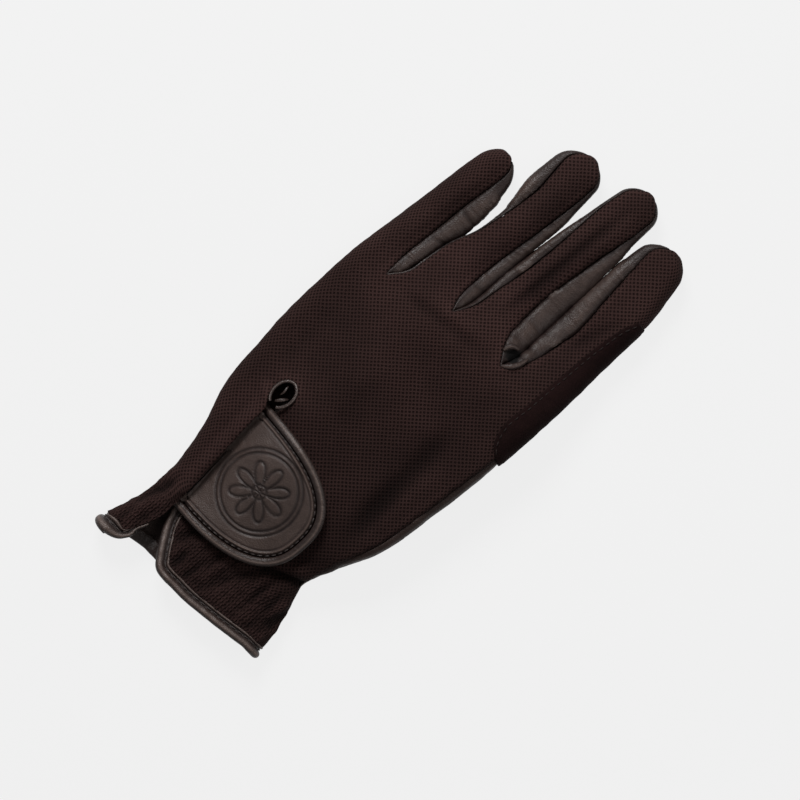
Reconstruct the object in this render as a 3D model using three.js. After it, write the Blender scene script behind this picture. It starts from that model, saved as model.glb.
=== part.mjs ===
// A horse riding glove for the left hand. It lies palm down with its thumb folded flat under the palm.
// Lengths are in millimetres. +X points to the thumb side, +Y to the fingertips, and +Z up.
import * as THREE from 'three';

// Sizes of the hand
const PALM_LENGTH = 132; // hem line to the knuckles
const PALM_WIDTH = 94; // across the knuckles
const HAND_HEIGHT = 11; // the empty hand from palm to back
const CUFF_HEIGHT = 9.8; // the same at the hem
const EDGE_ROLL = 6; // how far the rounded edge of the hand reaches in
const THUMB_LIFT = 9.4; // how far the folded thumb lifts the palm off the surface
const HEM_RISE = 1; // the palm's hem over the surface, which leaves room for its binding

// Sizes of the fingers, whose lengths run from the crotch to the tip
const FINGER_HEIGHT = 12;
const TIP_ROUND = 7.5; // length of the rounded fingertip
const LITTLE = { length: 61.5, width: 19 };
const RING = { length: 75.5, width: 20 };
const MIDDLE = { length: 82.3, width: 20 };
const INDEX = { length: 74.3, width: 24 };
const SIDE_INSET = 1.2; // palm seam of a finger in from its widest place
const FINGER_START = 20; // length over which the flat back turns into arched fingers
const INDEX_DROP = 2.6; // how much lower the index fingertip stands than its length alone would put it

// Walls and clearances
const MESH_WALL = 1.5;
const LEATHER_WALL = 1.2;
const SUEDE_WALL = 0.9;
const SEAM_GAP = 0.4; // between two pieces at a seam
const LAY_GAP = 0.35; // between two pieces that lie on each other
const CREASE = 6; // most that a seam gap widens in a sharp crease
const CORNER = 1.2; // most that a wall thickens at a corner

// Sizes of the thumb
const THUMB_LENGTH = 42; // free length beyond the thumb hole
const THUMB_WIDTH = 27;
const THUMB_HEIGHT = 8.2;
const THUMB_LEAN = 0.2; // sideways step for each step along
const THUMB_TURN = 3; // length over which it turns from the hole to point along the hand
const THUMB_ROOT_GAP = 1.2; // between the palm's outer face and the thumb at the hole
const THUMB_TOP_GAP = 0.7; // and beyond it
const HOLE_WIDTH = 21;
const HOLE_LENGTH = 32;

// Sizes of the closure
const TAB_LENGTH = 44.5;
const TAB_WIDTH = 50;
const TAB_THICKNESS = 2;
const TAB_RISE = 4.4; // top of the tab's round end over the back
const TAB_ROLL = 3.1; // width of the rolled binding
const TAB_ROLL_HEIGHT = 2.9;
const TAB_CORNER = 2.6; // exponent of the tab's outline, where 2 is an ellipse
const SLIT_DIP = 3.6; // how far the back tucks down beneath the tab
const PAD_LENGTH = 17;
const PAD_WIDTH = 26;
const PAD_THICKNESS = 1.4;
const LOOP_CORD = 1.8; // thickness of the rolled edge round the keyhole

// Sizes of the hem
const BINDING_WIDTH = 4.4;
const BINDING_THICKNESS = 2.9;
const GATHER_DEPTH = 0.55;
const GATHER_PITCH = 9;
const TOUCH_LENGTH = 27; // rough fingertip panel on the index finger
const PATCH_START = 0.86; // suede patch on the hand, as a share of PALM_LENGTH
const PATCH_END = 0.6; // and on the index finger, as a share of its length

// Edges of the hand: height as a share of PALM_LENGTH, edges as shares of PALM_WIDTH
const HAND_EDGES = [
  { up: 0, little: -0.404, thumb: 0.394 },
  { up: 0.06, little: -0.372, thumb: 0.386 },
  { up: 0.15, little: -0.356, thumb: 0.356 },
  { up: 0.25, little: -0.372, thumb: 0.312 },
  { up: 0.34, little: -0.403, thumb: 0.352 },
  { up: 0.45, little: -0.463, thumb: 0.412 },
  { up: 0.61, little: -0.498, thumb: 0.446 },
  { up: 0.76, little: -0.516, thumb: 0.462 },
  { up: 0.89, little: -0.521, thumb: 0.468 },
  { up: 1.07, little: -0.512, thumb: 0.47 },
];

// Lines that part the back into finger strips, with the slit's two edges as the first two, as HAND_EDGES
const BACK_LINES = [
  { up: 0, slit_little: -0.292, slit_thumb: -0.085, ring_middle: 0.06, middle_index: 0.215 },
  { up: 0.045, slit_little: -0.266, slit_thumb: -0.136, ring_middle: 0.01, middle_index: 0.17 },
  { up: 0.085, slit_little: -0.25, slit_thumb: -0.176, ring_middle: -0.03, middle_index: 0.145 },
  { up: 0.135, slit_little: -0.249, slit_thumb: -0.205, ring_middle: -0.05, middle_index: 0.135 },
  { up: 0.3, slit_little: -0.266, slit_thumb: -0.226, ring_middle: -0.06, middle_index: 0.14 },
  { up: 0.44, slit_little: -0.281, slit_thumb: -0.24, ring_middle: -0.066, middle_index: 0.152 },
  { up: 0.5, slit_little: -0.289, slit_thumb: -0.248, ring_middle: -0.07, middle_index: 0.16 },
  { up: 0.53, slit_little: -0.317, slit_thumb: -0.246, ring_middle: -0.072, middle_index: 0.163 },
  { up: 0.567, slit_little: -0.321, slit_thumb: -0.246, ring_middle: -0.075, middle_index: 0.167 },
  { up: 0.583, slit_little: -0.311, slit_thumb: -0.26, ring_middle: -0.076, middle_index: 0.169 },
  { up: 0.591, slit_little: -0.286, slit_thumb: -0.286, ring_middle: -0.077, middle_index: 0.17 },
  { up: 0.597, slit_little: -0.287, slit_thumb: -0.287, ring_middle: -0.077, middle_index: 0.17 },
  { up: 0.8, slit_little: -0.325, slit_thumb: -0.325, ring_middle: -0.083, middle_index: 0.183 },
  { up: 0.981, slit_little: -0.362, slit_thumb: -0.362, ring_middle: -0.085, middle_index: 0.19 },
  { up: 1.045, slit_little: -0.362, slit_thumb: -0.362, ring_middle: -0.085, middle_index: 0.191 },
];

// The same lines on the palm, which has no slit
const PALM_LINES = [
  { up: 0, little_ring: -0.22, ring_middle: -0.06, middle_index: 0.13 },
  { up: 0.25, little_ring: -0.22, ring_middle: -0.06, middle_index: 0.12 },
  { up: 0.42, little_ring: -0.26, ring_middle: -0.07, middle_index: 0.155 },
  { up: 0.66, little_ring: -0.31, ring_middle: -0.075, middle_index: 0.165 },
  { up: 0.981, little_ring: -0.362, ring_middle: -0.085, middle_index: 0.19 },
  { up: 1.045, little_ring: -0.362, ring_middle: -0.085, middle_index: 0.191 },
];

// Ends of the five lines, from the little side to the thumb side, as shares of PALM_LENGTH
const LINE_ENDS = [
  { back_hem: 0, palm_hem: 0, knuckle: 0.985 },
  { back_hem: -0.012, palm_hem: 0.02, knuckle: 0.981 },
  { back_hem: 0.01, palm_hem: 0.024, knuckle: 1.045 },
  { back_hem: 0.026, palm_hem: 0.03, knuckle: 1.045 },
  { back_hem: 0.045, palm_hem: 0.045, knuckle: 1.068 },
];
const SLIT_STAGGER = 0.018; // how much higher the slit's thumb edge ends at the hem than its little edge
const CORNER_SAG = 0.016; // the little corner of the hem hangs this much lower between its lines

// Height of the hand from palm to back, as a share of HAND_HEIGHT
const HAND_HEIGHTS = [
  { up: 0.2, share: 0.88 },
  { up: 0.3, share: 0.88 },
  { up: 0.45, share: 0.93 },
  { up: 0.75, share: 1 },
  { up: 1.07, share: 1.02 },
];

// Where the palm's seam runs on the rounded thumb edge: 90 degrees is on top, 0 at the widest place
const THUMB_SEAM = [
  { up: 0, degrees: 4 },
  { up: 0.24, degrees: 6 },
  { up: 0.34, degrees: 42 },
  { up: 0.5, degrees: 56 },
  { up: 0.8, degrees: 54 },
  { up: 0.95, degrees: 34 },
  { up: 1.07, degrees: 10 },
];
const FINGER_SEAM_DEGREES = -14; // the same seam out on the index finger
const LITTLE_SEAM_DEGREES = -32;

// Fingers: out is a share of the length, and the other columns are steps from the crotch as shares of the width
const LITTLE_ROWS = [
  { out: 0, left: 0, left_seam: 0, right_seam: 0, right: 0 },
  { out: 0.16, left: 0.053, left_seam: 0, right_seam: -0.026, right: 0.18 },
  { out: 0.33, left: 0.105, left_seam: 0, right_seam: 0, right: 0.268 },
  { out: 0.5, left: 0.147, left_seam: 0, right_seam: 0.026, right: 0.42 },
  { out: 0.65, left: 0.179, left_seam: 0, right_seam: 0.053, right: 0.42 },
  { out: 0.81, left: 0.232, left_seam: 0, right_seam: 0.105, right: 0.37 },
  { out: 0.92, left: 0.284, left_seam: 0, right_seam: 0.132, right: 0.29 },
  { out: 1, left: 0.337, left_seam: 0, right_seam: 0.158, right: 0.237 },
];
const RING_ROWS = [
  { out: 0, left: 0, left_seam: 0, right_seam: 0, right: 0 },
  { out: 0.07, left: 0.2, left_seam: 0.2, right_seam: -0.1, right: 0.06 },
  { out: 0.18, left: 0.27, left_seam: 0.275, right_seam: -0.125, right: 0.08 },
  { out: 0.3, left: 0.34, left_seam: 0.35, right_seam: -0.115, right: 0.1 },
  { out: 0.42, left: 0.5, left_seam: 0.515, right_seam: -0.08, right: 0.12 },
  { out: 0.52, left: 0.55, left_seam: 0.6, right_seam: -0.04, right: 0.14 },
  { out: 0.62, left: 0.54, left_seam: 0.66, right_seam: 0, right: 0.16 },
  { out: 0.73, left: 0.45, left_seam: 0.685, right_seam: 0.035, right: 0.17 },
  { out: 0.85, left: 0.435, left_seam: 0.625, right_seam: 0.055, right: 0.14 },
  { out: 0.93, left: 0.48, left_seam: 0.6, right_seam: 0.05, right: 0.11 },
  { out: 1, left: 0.55, left_seam: 0.625, right_seam: 0.04, right: 0.075 },
];
const MIDDLE_ROWS = [
  { out: 0, left: 0, left_seam: 0, right_seam: 0, right: 0 },
  { out: 0.09, left: 0.1, left_seam: 0.17, right_seam: -0.25, right: 0.04 },
  { out: 0.2, left: 0.13, left_seam: 0.24, right_seam: -0.33, right: 0.05 },
  { out: 0.33, left: 0.15, left_seam: 0.315, right_seam: -0.355, right: 0.055 },
  { out: 0.45, left: 0.2, left_seam: 0.36, right_seam: -0.33, right: 0.05 },
  { out: 0.64, left: 0.275, left_seam: 0.385, right_seam: -0.225, right: 0.025 },
  { out: 0.8, left: 0.345, left_seam: 0.395, right_seam: -0.13, right: 0 },
  { out: 0.92, left: 0.42, left_seam: 0.465, right_seam: -0.09, right: -0.02 },
  { out: 1, left: 0.48, left_seam: 0.51, right_seam: -0.11, right: -0.06 },
];
const INDEX_ROWS = [
  { out: 0, left: 0, left_seam: 0, right_seam: 0, right: 0 },
  { out: 0.1, left: 0.083, left_seam: 0.23, right_seam: 0, right: -0.008 },
  { out: 0.17, left: 0.083, left_seam: 0.296, right_seam: 0, right: -0.012 },
  { out: 0.3, left: 0.083, left_seam: 0.358, right_seam: 0, right: -0.03 },
  { out: 0.37, left: 0.083, left_seam: 0.396, right_seam: 0, right: -0.036 },
  { out: 0.46, left: 0.083, left_seam: 0.379, right_seam: 0, right: -0.042 },
  { out: 0.57, left: 0.083, left_seam: 0.333, right_seam: 0, right: -0.048 },
  { out: 0.68, left: 0.079, left_seam: 0.296, right_seam: 0, right: -0.06 },
  { out: 0.79, left: 0.067, left_seam: 0.263, right_seam: 0, right: -0.117 },
  { out: 0.9, left: 0.1, left_seam: 0.233, right_seam: 0, right: -0.192 },
  { out: 1, left: 0.183, left_seam: 0.267, right_seam: 0, right: -0.275 },
];
const FINGERS = [
  { size: LITTLE, rows: LITTLE_ROWS },
  { size: RING, rows: RING_ROWS },
  { size: MIDDLE, rows: MIDDLE_ROWS },
  { size: INDEX, rows: INDEX_ROWS },
];

// Heights in a finger's section, as shares of FINGER_HEIGHT
const SECTION = { back_seam: 0.72, middle: 0.46, palm_seam: 0.2 };
const TIP_WIDTH_LEFT = 0.36; // share of a finger's width that is left at the very tip
const TIP_SAG = 0.9; // how far the ends of the tip's edge draw back
const TIP_SEAM = 0.45; // half the gap between back and palm at the very tip

// Rows of the skin, from the hem to the knuckles and from the knuckles to the tips
const HAND_ROWS = [0, 0.04, 0.085, 0.15, 0.22, 0.3, 0.38, 0.45, 0.515, 0.545, 0.575, 0.598, 0.614,
  0.66, 0.75, 0.86, 0.94, 1];
const KEYHOLE_ROW = 12;
const HOLE_ROWS = { first: 6, last: 13 };
const FINGER_ROWS = [0.06, 0.14, 0.24, 0.36, 0.49, 0.62, 0.75, 0.86];
const TIP_STEPS = [0, 0.5, 0.8, 0.95, 1]; // of TIP_ROUND

const OVER = { little: 5, flat: 4, middle: 6, thumb: 3 }; // faces across each part of the back
const UNDER = { little: 2, flat: 4, middle: 5, thumb: 4 }; // and of the palm

const clamp = (value, low, high) => Math.min(Math.max(value, low), high);
const mix = (a, b, share) => a + (b - a) * share;
const radians = THREE.MathUtils.degToRad;

// A soft step from 0 to 1 as value goes from low to high
function step(value, low, high) {
  const t = clamp((value - low) / (high - low), 0, 1);
  return t * t * (3 - 2 * t);
}

// A column of a table at a place along its first column, by cubic pieces through its rows
function read(table, column, at) {
  const key = Object.keys(table[0])[0];
  const last = table.length - 1;
  if (at <= table[0][key]) return table[0][column];
  if (at >= table[last][key]) return table[last][column];
  let i = 0;
  while (at > table[i + 1][key]) i += 1;
  const rise = (k) => (table[k + 1][column] - table[k][column]) / (table[k + 1][key] - table[k][key]);
  const slope = (k) => {
    if (k === 0) return rise(0);
    if (k === last) return rise(last - 1);
    const before = table[k][key] - table[k - 1][key];
    const after = table[k + 1][key] - table[k][key];
    return (rise(k - 1) * after + rise(k) * before) / (before + after);
  };
  const span = table[i + 1][key] - table[i][key];
  const t = (at - table[i][key]) / span;
  return (2 * t ** 3 - 3 * t ** 2 + 1) * table[i][column]
    + (t ** 3 - 2 * t ** 2 + t) * span * slope(i)
    + (3 * t ** 2 - 2 * t ** 3) * table[i + 1][column]
    + (t ** 3 - t ** 2) * span * slope(i + 1);
}

// Height of the palm's outer face over the surface: it is lifted where the thumb lies beneath
function lowFace(x, y) {
  const along = step(y, 0.17 * PALM_LENGTH, 0.47 * PALM_LENGTH)
    * (1 - step(y, 0.96 * PALM_LENGTH, 1.27 * PALM_LENGTH));
  const across = step(x, -0.49 * PALM_WIDTH, -0.08 * PALM_WIDTH);
  return THUMB_LIFT * along * across + HEM_RISE * (1 - step(y, 0, 0.09 * PALM_LENGTH));
}

// Height from palm to back
function depth(y) {
  const up = y / PALM_LENGTH;
  const cuff = CUFF_HEIGHT / HAND_HEIGHT;
  return HAND_HEIGHT * mix(cuff, read(HAND_HEIGHTS, 'share', up), step(up, 0, 0.25));
}

// Height of the back's outer face, before it tucks down beside the slit
function highFace(x, y) {
  const puff = step(y, 0.21 * PALM_LENGTH, 0.27 * PALM_LENGTH) * (1 - step(y, 0.3 * PALM_LENGTH, 0.5 * PALM_LENGTH));
  const side = step(x, 0.1 * PALM_WIDTH, 0.22 * PALM_WIDTH);
  return lowFace(x, y) + depth(y) + 1.2 * puff * side;
}

// The thumb side of the slit lies lower, so that the tab fits over it
function tuck(x, y) {
  const across = 1 - step(x, -0.235 * PALM_WIDTH, -0.03 * PALM_WIDTH);
  const along = (1 - step(y, 0.45 * PALM_LENGTH, 0.58 * PALM_LENGTH)) * mix(0.35, 1, step(y, 0, 0.12 * PALM_LENGTH));
  return SLIT_DIP * across * along;
}

// Elastic gathers of the cuff, as ribs along the hand
function gathers(x, y) {
  const along = 1 - step(y, 0.16 * PALM_LENGTH, 0.25 * PALM_LENGTH);
  return GATHER_DEPTH * along * Math.sin((x / GATHER_PITCH) * 2 * Math.PI);
}

// A point in plan on one of the five lines of a panel, from the hem at 0 to the knuckles at 1
function linePoint(panel, line, row) {
  const ends = LINE_ENDS[line];
  const isSlit = panel === 'back_thumb' && line === 1;
  const stagger = isSlit ? SLIT_STAGGER * Math.max(1 - row / HAND_ROWS[KEYHOLE_ROW], 0) : 0;
  const up = mix(ends[panel === 'palm' ? 'palm_hem' : 'back_hem'], ends.knuckle, row) + stagger;
  const names = {
    palm: ['little', 'little_ring', 'ring_middle', 'middle_index', 'thumb'],
    back_little: ['little', 'slit_little'],
    back_thumb: ['', 'slit_thumb', 'ring_middle', 'middle_index', 'thumb'],
  };
  const lines = panel === 'palm' ? PALM_LINES : BACK_LINES;
  const table = line === 0 || line === 4 ? HAND_EDGES : lines;
  return { x: PALM_WIDTH * read(table, names[panel][line], up), y: PALM_LENGTH * up };
}

// A finger's section at a share of its length: its edges and seams in plan and its heights
function fingerSection(finger, out) {
  const { size, rows } = FINGERS[finger];
  const left = linePoint('palm', finger, 1);
  const right = linePoint('palm', finger + 1, 1);
  const tip = Math.max(left.y, right.y) + size.length - (size === INDEX ? INDEX_DROP : 0);
  const q = clamp((out - 1 + TIP_ROUND / size.length) / (TIP_ROUND / size.length), 0, 1);
  const cap = Math.sqrt(1 - (1 - TIP_WIDTH_LEFT ** 2) * q ** 2);
  const place = (side, column) => side.x + size.width * read(rows, column, out);
  const edges = { left: place(left, 'left'), right: place(right, 'right') };
  const centre = (edges.left + edges.right) / 2;
  const narrowed = (x) => centre + (x - centre) * cap;
  const start = step(out * size.length, 0, FINGER_START);
  return {
    left: narrowed(edges.left),
    right: narrowed(edges.right),
    leftSeam: narrowed(place(left, 'left_seam')),
    rightSeam: narrowed(place(right, 'right_seam')),
    yLeft: mix(left.y, tip, out),
    yRight: mix(right.y, tip, out),
    sag: TIP_SAG * q,
    closing: Math.sqrt(1 - q ** 2),
    parting: TIP_SEAM * q ** 2,
    start,
  };
}

// Heights at a place on a finger: the crown, both seams, the middle and the underside
function fingerHeights(section, x, y) {
  const low = lowFace(x, y);
  const middle = low + SECTION.middle * FINGER_HEIGHT;
  const squeeze = (height) => middle + (height - middle) * section.closing + Math.sign(height - middle) * section.parting;
  const high = highFace(x, y);
  return {
    crown: squeeze(mix(high, low + FINGER_HEIGHT, section.start)),
    backSeam: squeeze(mix(high, low + SECTION.back_seam * FINGER_HEIGHT, section.start)),
    middle,
    palmSeam: squeeze(mix(low, low + SECTION.palm_seam * FINGER_HEIGHT, section.start)),
    low: squeeze(low),
  };
}

// A point on the rounded outer edge, at an angle over its widest place; turn is +1 on the thumb side
function edgePoint(edge, turn, y, angle, heights) {
  const a = radians(angle);
  const reach = angle > 0 ? heights.crown - heights.middle : heights.middle - heights.low;
  const x = edge - turn * EDGE_ROLL * heights.roll * (1 - Math.cos(a));
  return new THREE.Vector3(x, y, heights.middle + reach * Math.sin(a));
}

// The edge's heights at a row of the hand, or at a finger's section
function edgeHeights(x, y, section) {
  if (section) {
    return { ...fingerHeights(section, x, y), roll: mix(1, 0.85, section.start) * mix(0.3, 1, section.closing) };
  }
  const low = lowFace(x, y);
  const crown = highFace(x, y);
  return { crown, low, middle: mix(low, crown, SECTION.middle), roll: 1 };
}

const shares = (count) => Array.from({ length: count + 1 }, (_, i) => i / count);

// One row of the back across one strip, from the little side to the thumb side
function backRow(strip, row, out) {
  const section = out === null ? null : fingerSection(strip, out);
  const panel = strip === 0 ? 'back_little' : 'back_thumb';
  const ends = section
    ? [{ x: section.leftSeam, y: section.yLeft }, { x: section.rightSeam, y: section.yRight }]
    : [linePoint(panel, strip, row), linePoint(panel, strip + 1, row)];
  if (strip === 0 && section) ends[0].x = section.left;
  if (strip === 3 && section) ends[1].x = section.right;
  const points = [];
  const flat = (from, to, count, arch) => {
    for (const s of shares(count)) {
      const x = mix(from.x, to.x, s);
      const bow = section ? -section.sag * (2 * arch(s)) ** 2 : 0;
      const sag = !section && strip === 0 ? -CORNER_SAG * PALM_LENGTH * 4 * s * (1 - s) * (1 - row) ** 4 : 0;
      const y = mix(from.y, to.y, s) + bow + sag;
      let z = highFace(x, y) + gathers(x, y);
      if (section) {
        const h = fingerHeights(section, x, y);
        z = mix(h.backSeam, h.crown, 1 - Math.abs(2 * arch(s)) ** 2.2);
      } else if (strip > 0) {
        z -= tuck(x, y);
      }
      points.push(new THREE.Vector3(x, y, z));
    }
  };
  if (strip === 0) {
    const inner = { x: ends[0].x + EDGE_ROLL * edgeHeights(ends[0].x, ends[0].y, section).roll, y: ends[0].y };
    flat(inner, ends[1], OVER.flat, (s) => s / 2);
    const heights = { ...edgeHeights(inner.x, inner.y, section), crown: points[0].z };
    const roll = shares(OVER.little).slice(0, -1).map((s) => edgePoint(
      ends[0].x, -1, inner.y, mix(LITTLE_SEAM_DEGREES, 90, s), heights));
    return [...roll, ...points];
  }
  if (strip === 3) {
    const inner = { x: ends[1].x - EDGE_ROLL * edgeHeights(ends[1].x, ends[1].y, section).roll, y: ends[1].y };
    flat(ends[0], inner, OVER.flat, (s) => (1 - s) / 2);
    const heights = { ...edgeHeights(inner.x, inner.y, section), crown: points[points.length - 1].z };
    const seam = seamAngle(inner.y, section);
    const roll = shares(OVER.thumb).slice(1).map((s) => edgePoint(ends[1].x, 1, inner.y, mix(90, seam, s), heights));
    return [...points, ...roll];
  }
  flat(ends[0], ends[1], OVER.middle, (s) => s - 0.5);
  return points;
}

// Where the seam runs on the thumb edge
function seamAngle(y, section) {
  const onHand = read(THUMB_SEAM, 'degrees', y / PALM_LENGTH);
  return section ? mix(onHand, FINGER_SEAM_DEGREES, section.start) : onHand;
}

// One row of the palm across one strip
function palmRow(strip, row, out) {
  const section = out === null ? null : fingerSection(strip, out);
  const inset = section ? SIDE_INSET * section.start * section.closing : 0;
  const ends = section
    ? [{ x: section.left + inset, y: section.yLeft }, { x: section.right - inset, y: section.yRight }]
    : [linePoint('palm', strip, row), linePoint('palm', strip + 1, row)];
  if (strip === 0 && section) ends[0].x = section.left;
  if (strip === 3 && section) ends[1].x = section.right;
  const flat = (from, to, count, arch) => shares(count).map((s) => {
    const x = mix(from.x, to.x, s);
    const bow = section ? -section.sag * (2 * arch(s)) ** 2 : 0;
    const y = mix(from.y, to.y, s) + bow;
    if (!section) return new THREE.Vector3(x, y, lowFace(x, y));
    const h = fingerHeights(section, x, y);
    return new THREE.Vector3(x, y, mix(h.low, h.palmSeam, step(Math.abs(2 * arch(s)), 0.5, 1)));
  });
  if (strip === 0) {
    const inner = { x: ends[0].x + EDGE_ROLL * edgeHeights(ends[0].x, ends[0].y, section).roll, y: ends[0].y };
    const points = flat(inner, ends[1], UNDER.flat, (s) => s / 2);
    const heights = { ...edgeHeights(inner.x, inner.y, section), low: points[0].z };
    const roll = shares(UNDER.little).slice(0, -1).map((s) => edgePoint(
      ends[0].x, -1, inner.y, mix(LITTLE_SEAM_DEGREES, -90, s), heights));
    return [...roll, ...points];
  }
  if (strip === 3) {
    const inner = { x: ends[1].x - EDGE_ROLL * edgeHeights(ends[1].x, ends[1].y, section).roll, y: ends[1].y };
    const points = flat(ends[0], inner, UNDER.flat, (s) => (1 - s) / 2);
    const crown = backRow(3, row, out)[OVER.flat].z;
    const heights = { ...edgeHeights(inner.x, inner.y, section), low: points[points.length - 1].z, crown };
    const seam = seamAngle(inner.y, section);
    const roll = shares(UNDER.thumb).slice(1).map((s) => edgePoint(ends[1].x, 1, inner.y, mix(-90, seam, s), heights));
    return [...points, ...roll];
  }
  return flat(ends[0], ends[1], UNDER.middle, (s) => s - 0.5);
}

// One side wall of a finger at a share of its length, from its back seam down to its palm seam
function sideRow(finger, side, out) {
  const s = fingerSection(finger, out);
  const isLeft = side === 'left';
  const seam = isLeft ? s.leftSeam : s.rightSeam;
  const widest = isLeft ? s.left : s.right;
  const inset = SIDE_INSET * s.start * s.closing * (isLeft ? 1 : -1);
  const ySide = (isLeft ? s.yLeft : s.yRight) - s.sag;
  const top = fingerHeights(s, seam, ySide);
  const bottom = fingerHeights(s, widest + inset, ySide);
  const curve = (from, corner, to, t) => (1 - t) ** 2 * from + 2 * t * (1 - t) * corner + t ** 2 * to;
  return [0, 0.5, 1, 1.5, 2].map((t) => {
    if (t <= 1) {
      const x = curve(seam, widest, widest, t);
      return new THREE.Vector3(x, ySide, curve(top.backSeam, top.backSeam, bottom.middle, t));
    }
    const x = curve(widest, widest, widest + inset, t - 1);
    return new THREE.Vector3(x, ySide, curve(bottom.middle, bottom.palmSeam, bottom.palmSeam, t - 1));
  });
}

// The shares of a finger's length at which the skin has its rows
function fingerOuts(finger) {
  const round = TIP_ROUND / FINGERS[finger].size.length;
  return [...FINGER_ROWS.filter((out) => out < 1 - round - 0.03), ...TIP_STEPS.map((t) => 1 - round + round * t)];
}

// A skin is one surface that is cut into pieces along its seams. Each piece is drawn back from its seams by
// half a gap and is given a wall on the inside.
class Skin {
  constructor() {
    this.points = [];
    this.ids = new Map();
    this.pieces = new Map();
  }

  id(point) {
    const key = [point.x, point.y, point.z].map((v) => Math.round(v * 2000)).join();
    if (!this.ids.has(key)) {
      this.ids.set(key, this.points.length);
      this.points.push(point.clone());
    }
    return this.ids.get(key);
  }

  // Adds the faces between the rows of a grid; turned swaps their outer side, and open says which to leave out
  add(piece, rows, turned = false, open = () => false) {
    if (!this.pieces.has(piece)) this.pieces.set(piece, []);
    for (let i = 0; i + 1 < rows.length; i += 1) {
      for (let j = 0; j + 1 < rows[i].length; j += 1) {
        if (open(i, j)) continue;
        const ring = [rows[i][j], rows[i][j + 1], rows[i + 1][j + 1], rows[i + 1][j]].map((p) => this.id(p));
        const face = ring.filter((v, k) => v !== ring[(k + 1) % ring.length]);
        if (face.length < 3) continue;
        this.pieces.get(piece).push(turned ? face.reverse() : face);
      }
    }
  }

  faceNormal(face) {
    const normal = new THREE.Vector3();
    for (let k = 0; k < face.length; k += 1) {
      const p = this.points[face[k]];
      const q = this.points[face[(k + 1) % face.length]];
      normal.add(new THREE.Vector3(
        (p.y - q.y) * (p.z + q.z), (p.z - q.z) * (p.x + q.x), (p.x - q.x) * (p.y + q.y)));
    }
    return normal.normalize();
  }

  // The direction to the outside at each point, and how many pieces meet there
  measure() {
    this.normals = this.points.map(() => new THREE.Vector3());
    this.owners = this.points.map(() => new Set());
    this.mitres = this.points.map(() => 1);
    for (const [piece, faces] of this.pieces) {
      for (const face of faces) {
        const normal = this.faceNormal(face);
        for (const v of face) {
          this.normals[v].add(normal);
          this.owners[v].add(piece);
        }
      }
    }
    for (const normal of this.normals) normal.normalize();
    for (const faces of this.pieces.values()) {
      for (const face of faces) {
        const normal = this.faceNormal(face);
        for (const v of face) {
          this.mitres[v] = Math.max(this.mitres[v], 1 / Math.max(normal.dot(this.normals[v]), 1 / CREASE));
        }
      }
    }
  }

  // The closed wall of one piece, raised off the skin where it is laid on top of it
  wall(piece, thickness, raised = 0) {
    const faces = this.pieces.get(piece);
    const pull = new Map();
    for (const face of faces) {
      const centre = new THREE.Vector3();
      for (const v of face) centre.addScaledVector(this.points[v], 1 / face.length);
      for (const v of face) {
        if (!pull.has(v)) pull.set(v, new THREE.Vector3());
        pull.get(v).add(centre.clone().sub(this.points[v]).normalize());
      }
    }
    const outer = new Map();
    const positions = [];
    for (const [v, towards] of pull) {
      const p = this.points[v].clone();
      if (this.owners[v].size > 1) {
        towards.addScaledVector(this.normals[v], -towards.dot(this.normals[v])).normalize();
        p.addScaledVector(towards, (SEAM_GAP / 2) * this.mitres[v]);
      }
      const normal = this.normals[v];
      outer.set(v, positions.length / 6);
      const top = p.clone().addScaledVector(normal, raised);
      const under = top.clone().addScaledVector(normal, -thickness * Math.min(this.mitres[v], CORNER));
      positions.push(top.x, top.y, top.z, under.x, under.y, under.z);
    }
    return closedWall(faces.map((face) => face.map((v) => outer.get(v))), positions);
  }
}

// Closes outer and inner faces with a strip along every edge that only one face has. Point v of the outer face
// is point 2v of the list, and the one beneath it 2v + 1.
function closedWall(faces, positions) {
  const at = (v) => new THREE.Vector3().fromArray(positions, v * 3);
  const triangles = [];
  const edges = new Set();
  for (const face of faces) {
    for (let k = 0; k < face.length; k += 1) edges.add(`${face[k]}>${face[(k + 1) % face.length]}`);
    const across = face.length === 4
      && at(2 * face[0]).distanceTo(at(2 * face[2])) > at(2 * face[1]).distanceTo(at(2 * face[3]));
    const [a, b, c, d] = across ? [face[1], face[2], face[3], face[0]] : face;
    const parts = face.length === 4 ? [[a, b, c], [a, c, d]] : [[a, b, c]];
    for (const [p, q, r] of parts) {
      triangles.push([2 * p, 2 * q, 2 * r], [2 * r + 1, 2 * q + 1, 2 * p + 1]);
    }
  }
  for (const edge of edges) {
    const [p, q] = edge.split('>').map(Number);
    if (edges.has(`${q}>${p}`)) continue;
    triangles.push([2 * q, 2 * p, 2 * p + 1], [2 * q, 2 * p + 1, 2 * q + 1]);
  }
  return solid(positions, triangles);
}

function solid(positions, triangles) {
  const geometry = new THREE.BufferGeometry();
  geometry.setAttribute('position', new THREE.Float32BufferAttribute(positions, 3));
  geometry.setIndex(triangles.flat());
  geometry.computeVertexNormals();
  return geometry;
}

// A closed rod whose rings have equal counts of points, with a flat cap at each end
function rod(rings) {
  const count = rings[0].length;
  const triangles = [];
  for (let i = 0; i + 1 < rings.length; i += 1) {
    for (let k = 0; k < count; k += 1) {
      const [a, b] = [i * count + k, i * count + ((k + 1) % count)];
      triangles.push([a, b, b + count], [a, b + count, a + count]);
    }
  }
  const last = (rings.length - 1) * count;
  for (let k = 1; k + 1 < count; k += 1) {
    triangles.push([0, k + 1, k], [last, last + k, last + k + 1]);
  }
  return solid(rings.flat().flatMap((p) => [p.x, p.y, p.z]), triangles);
}

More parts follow.
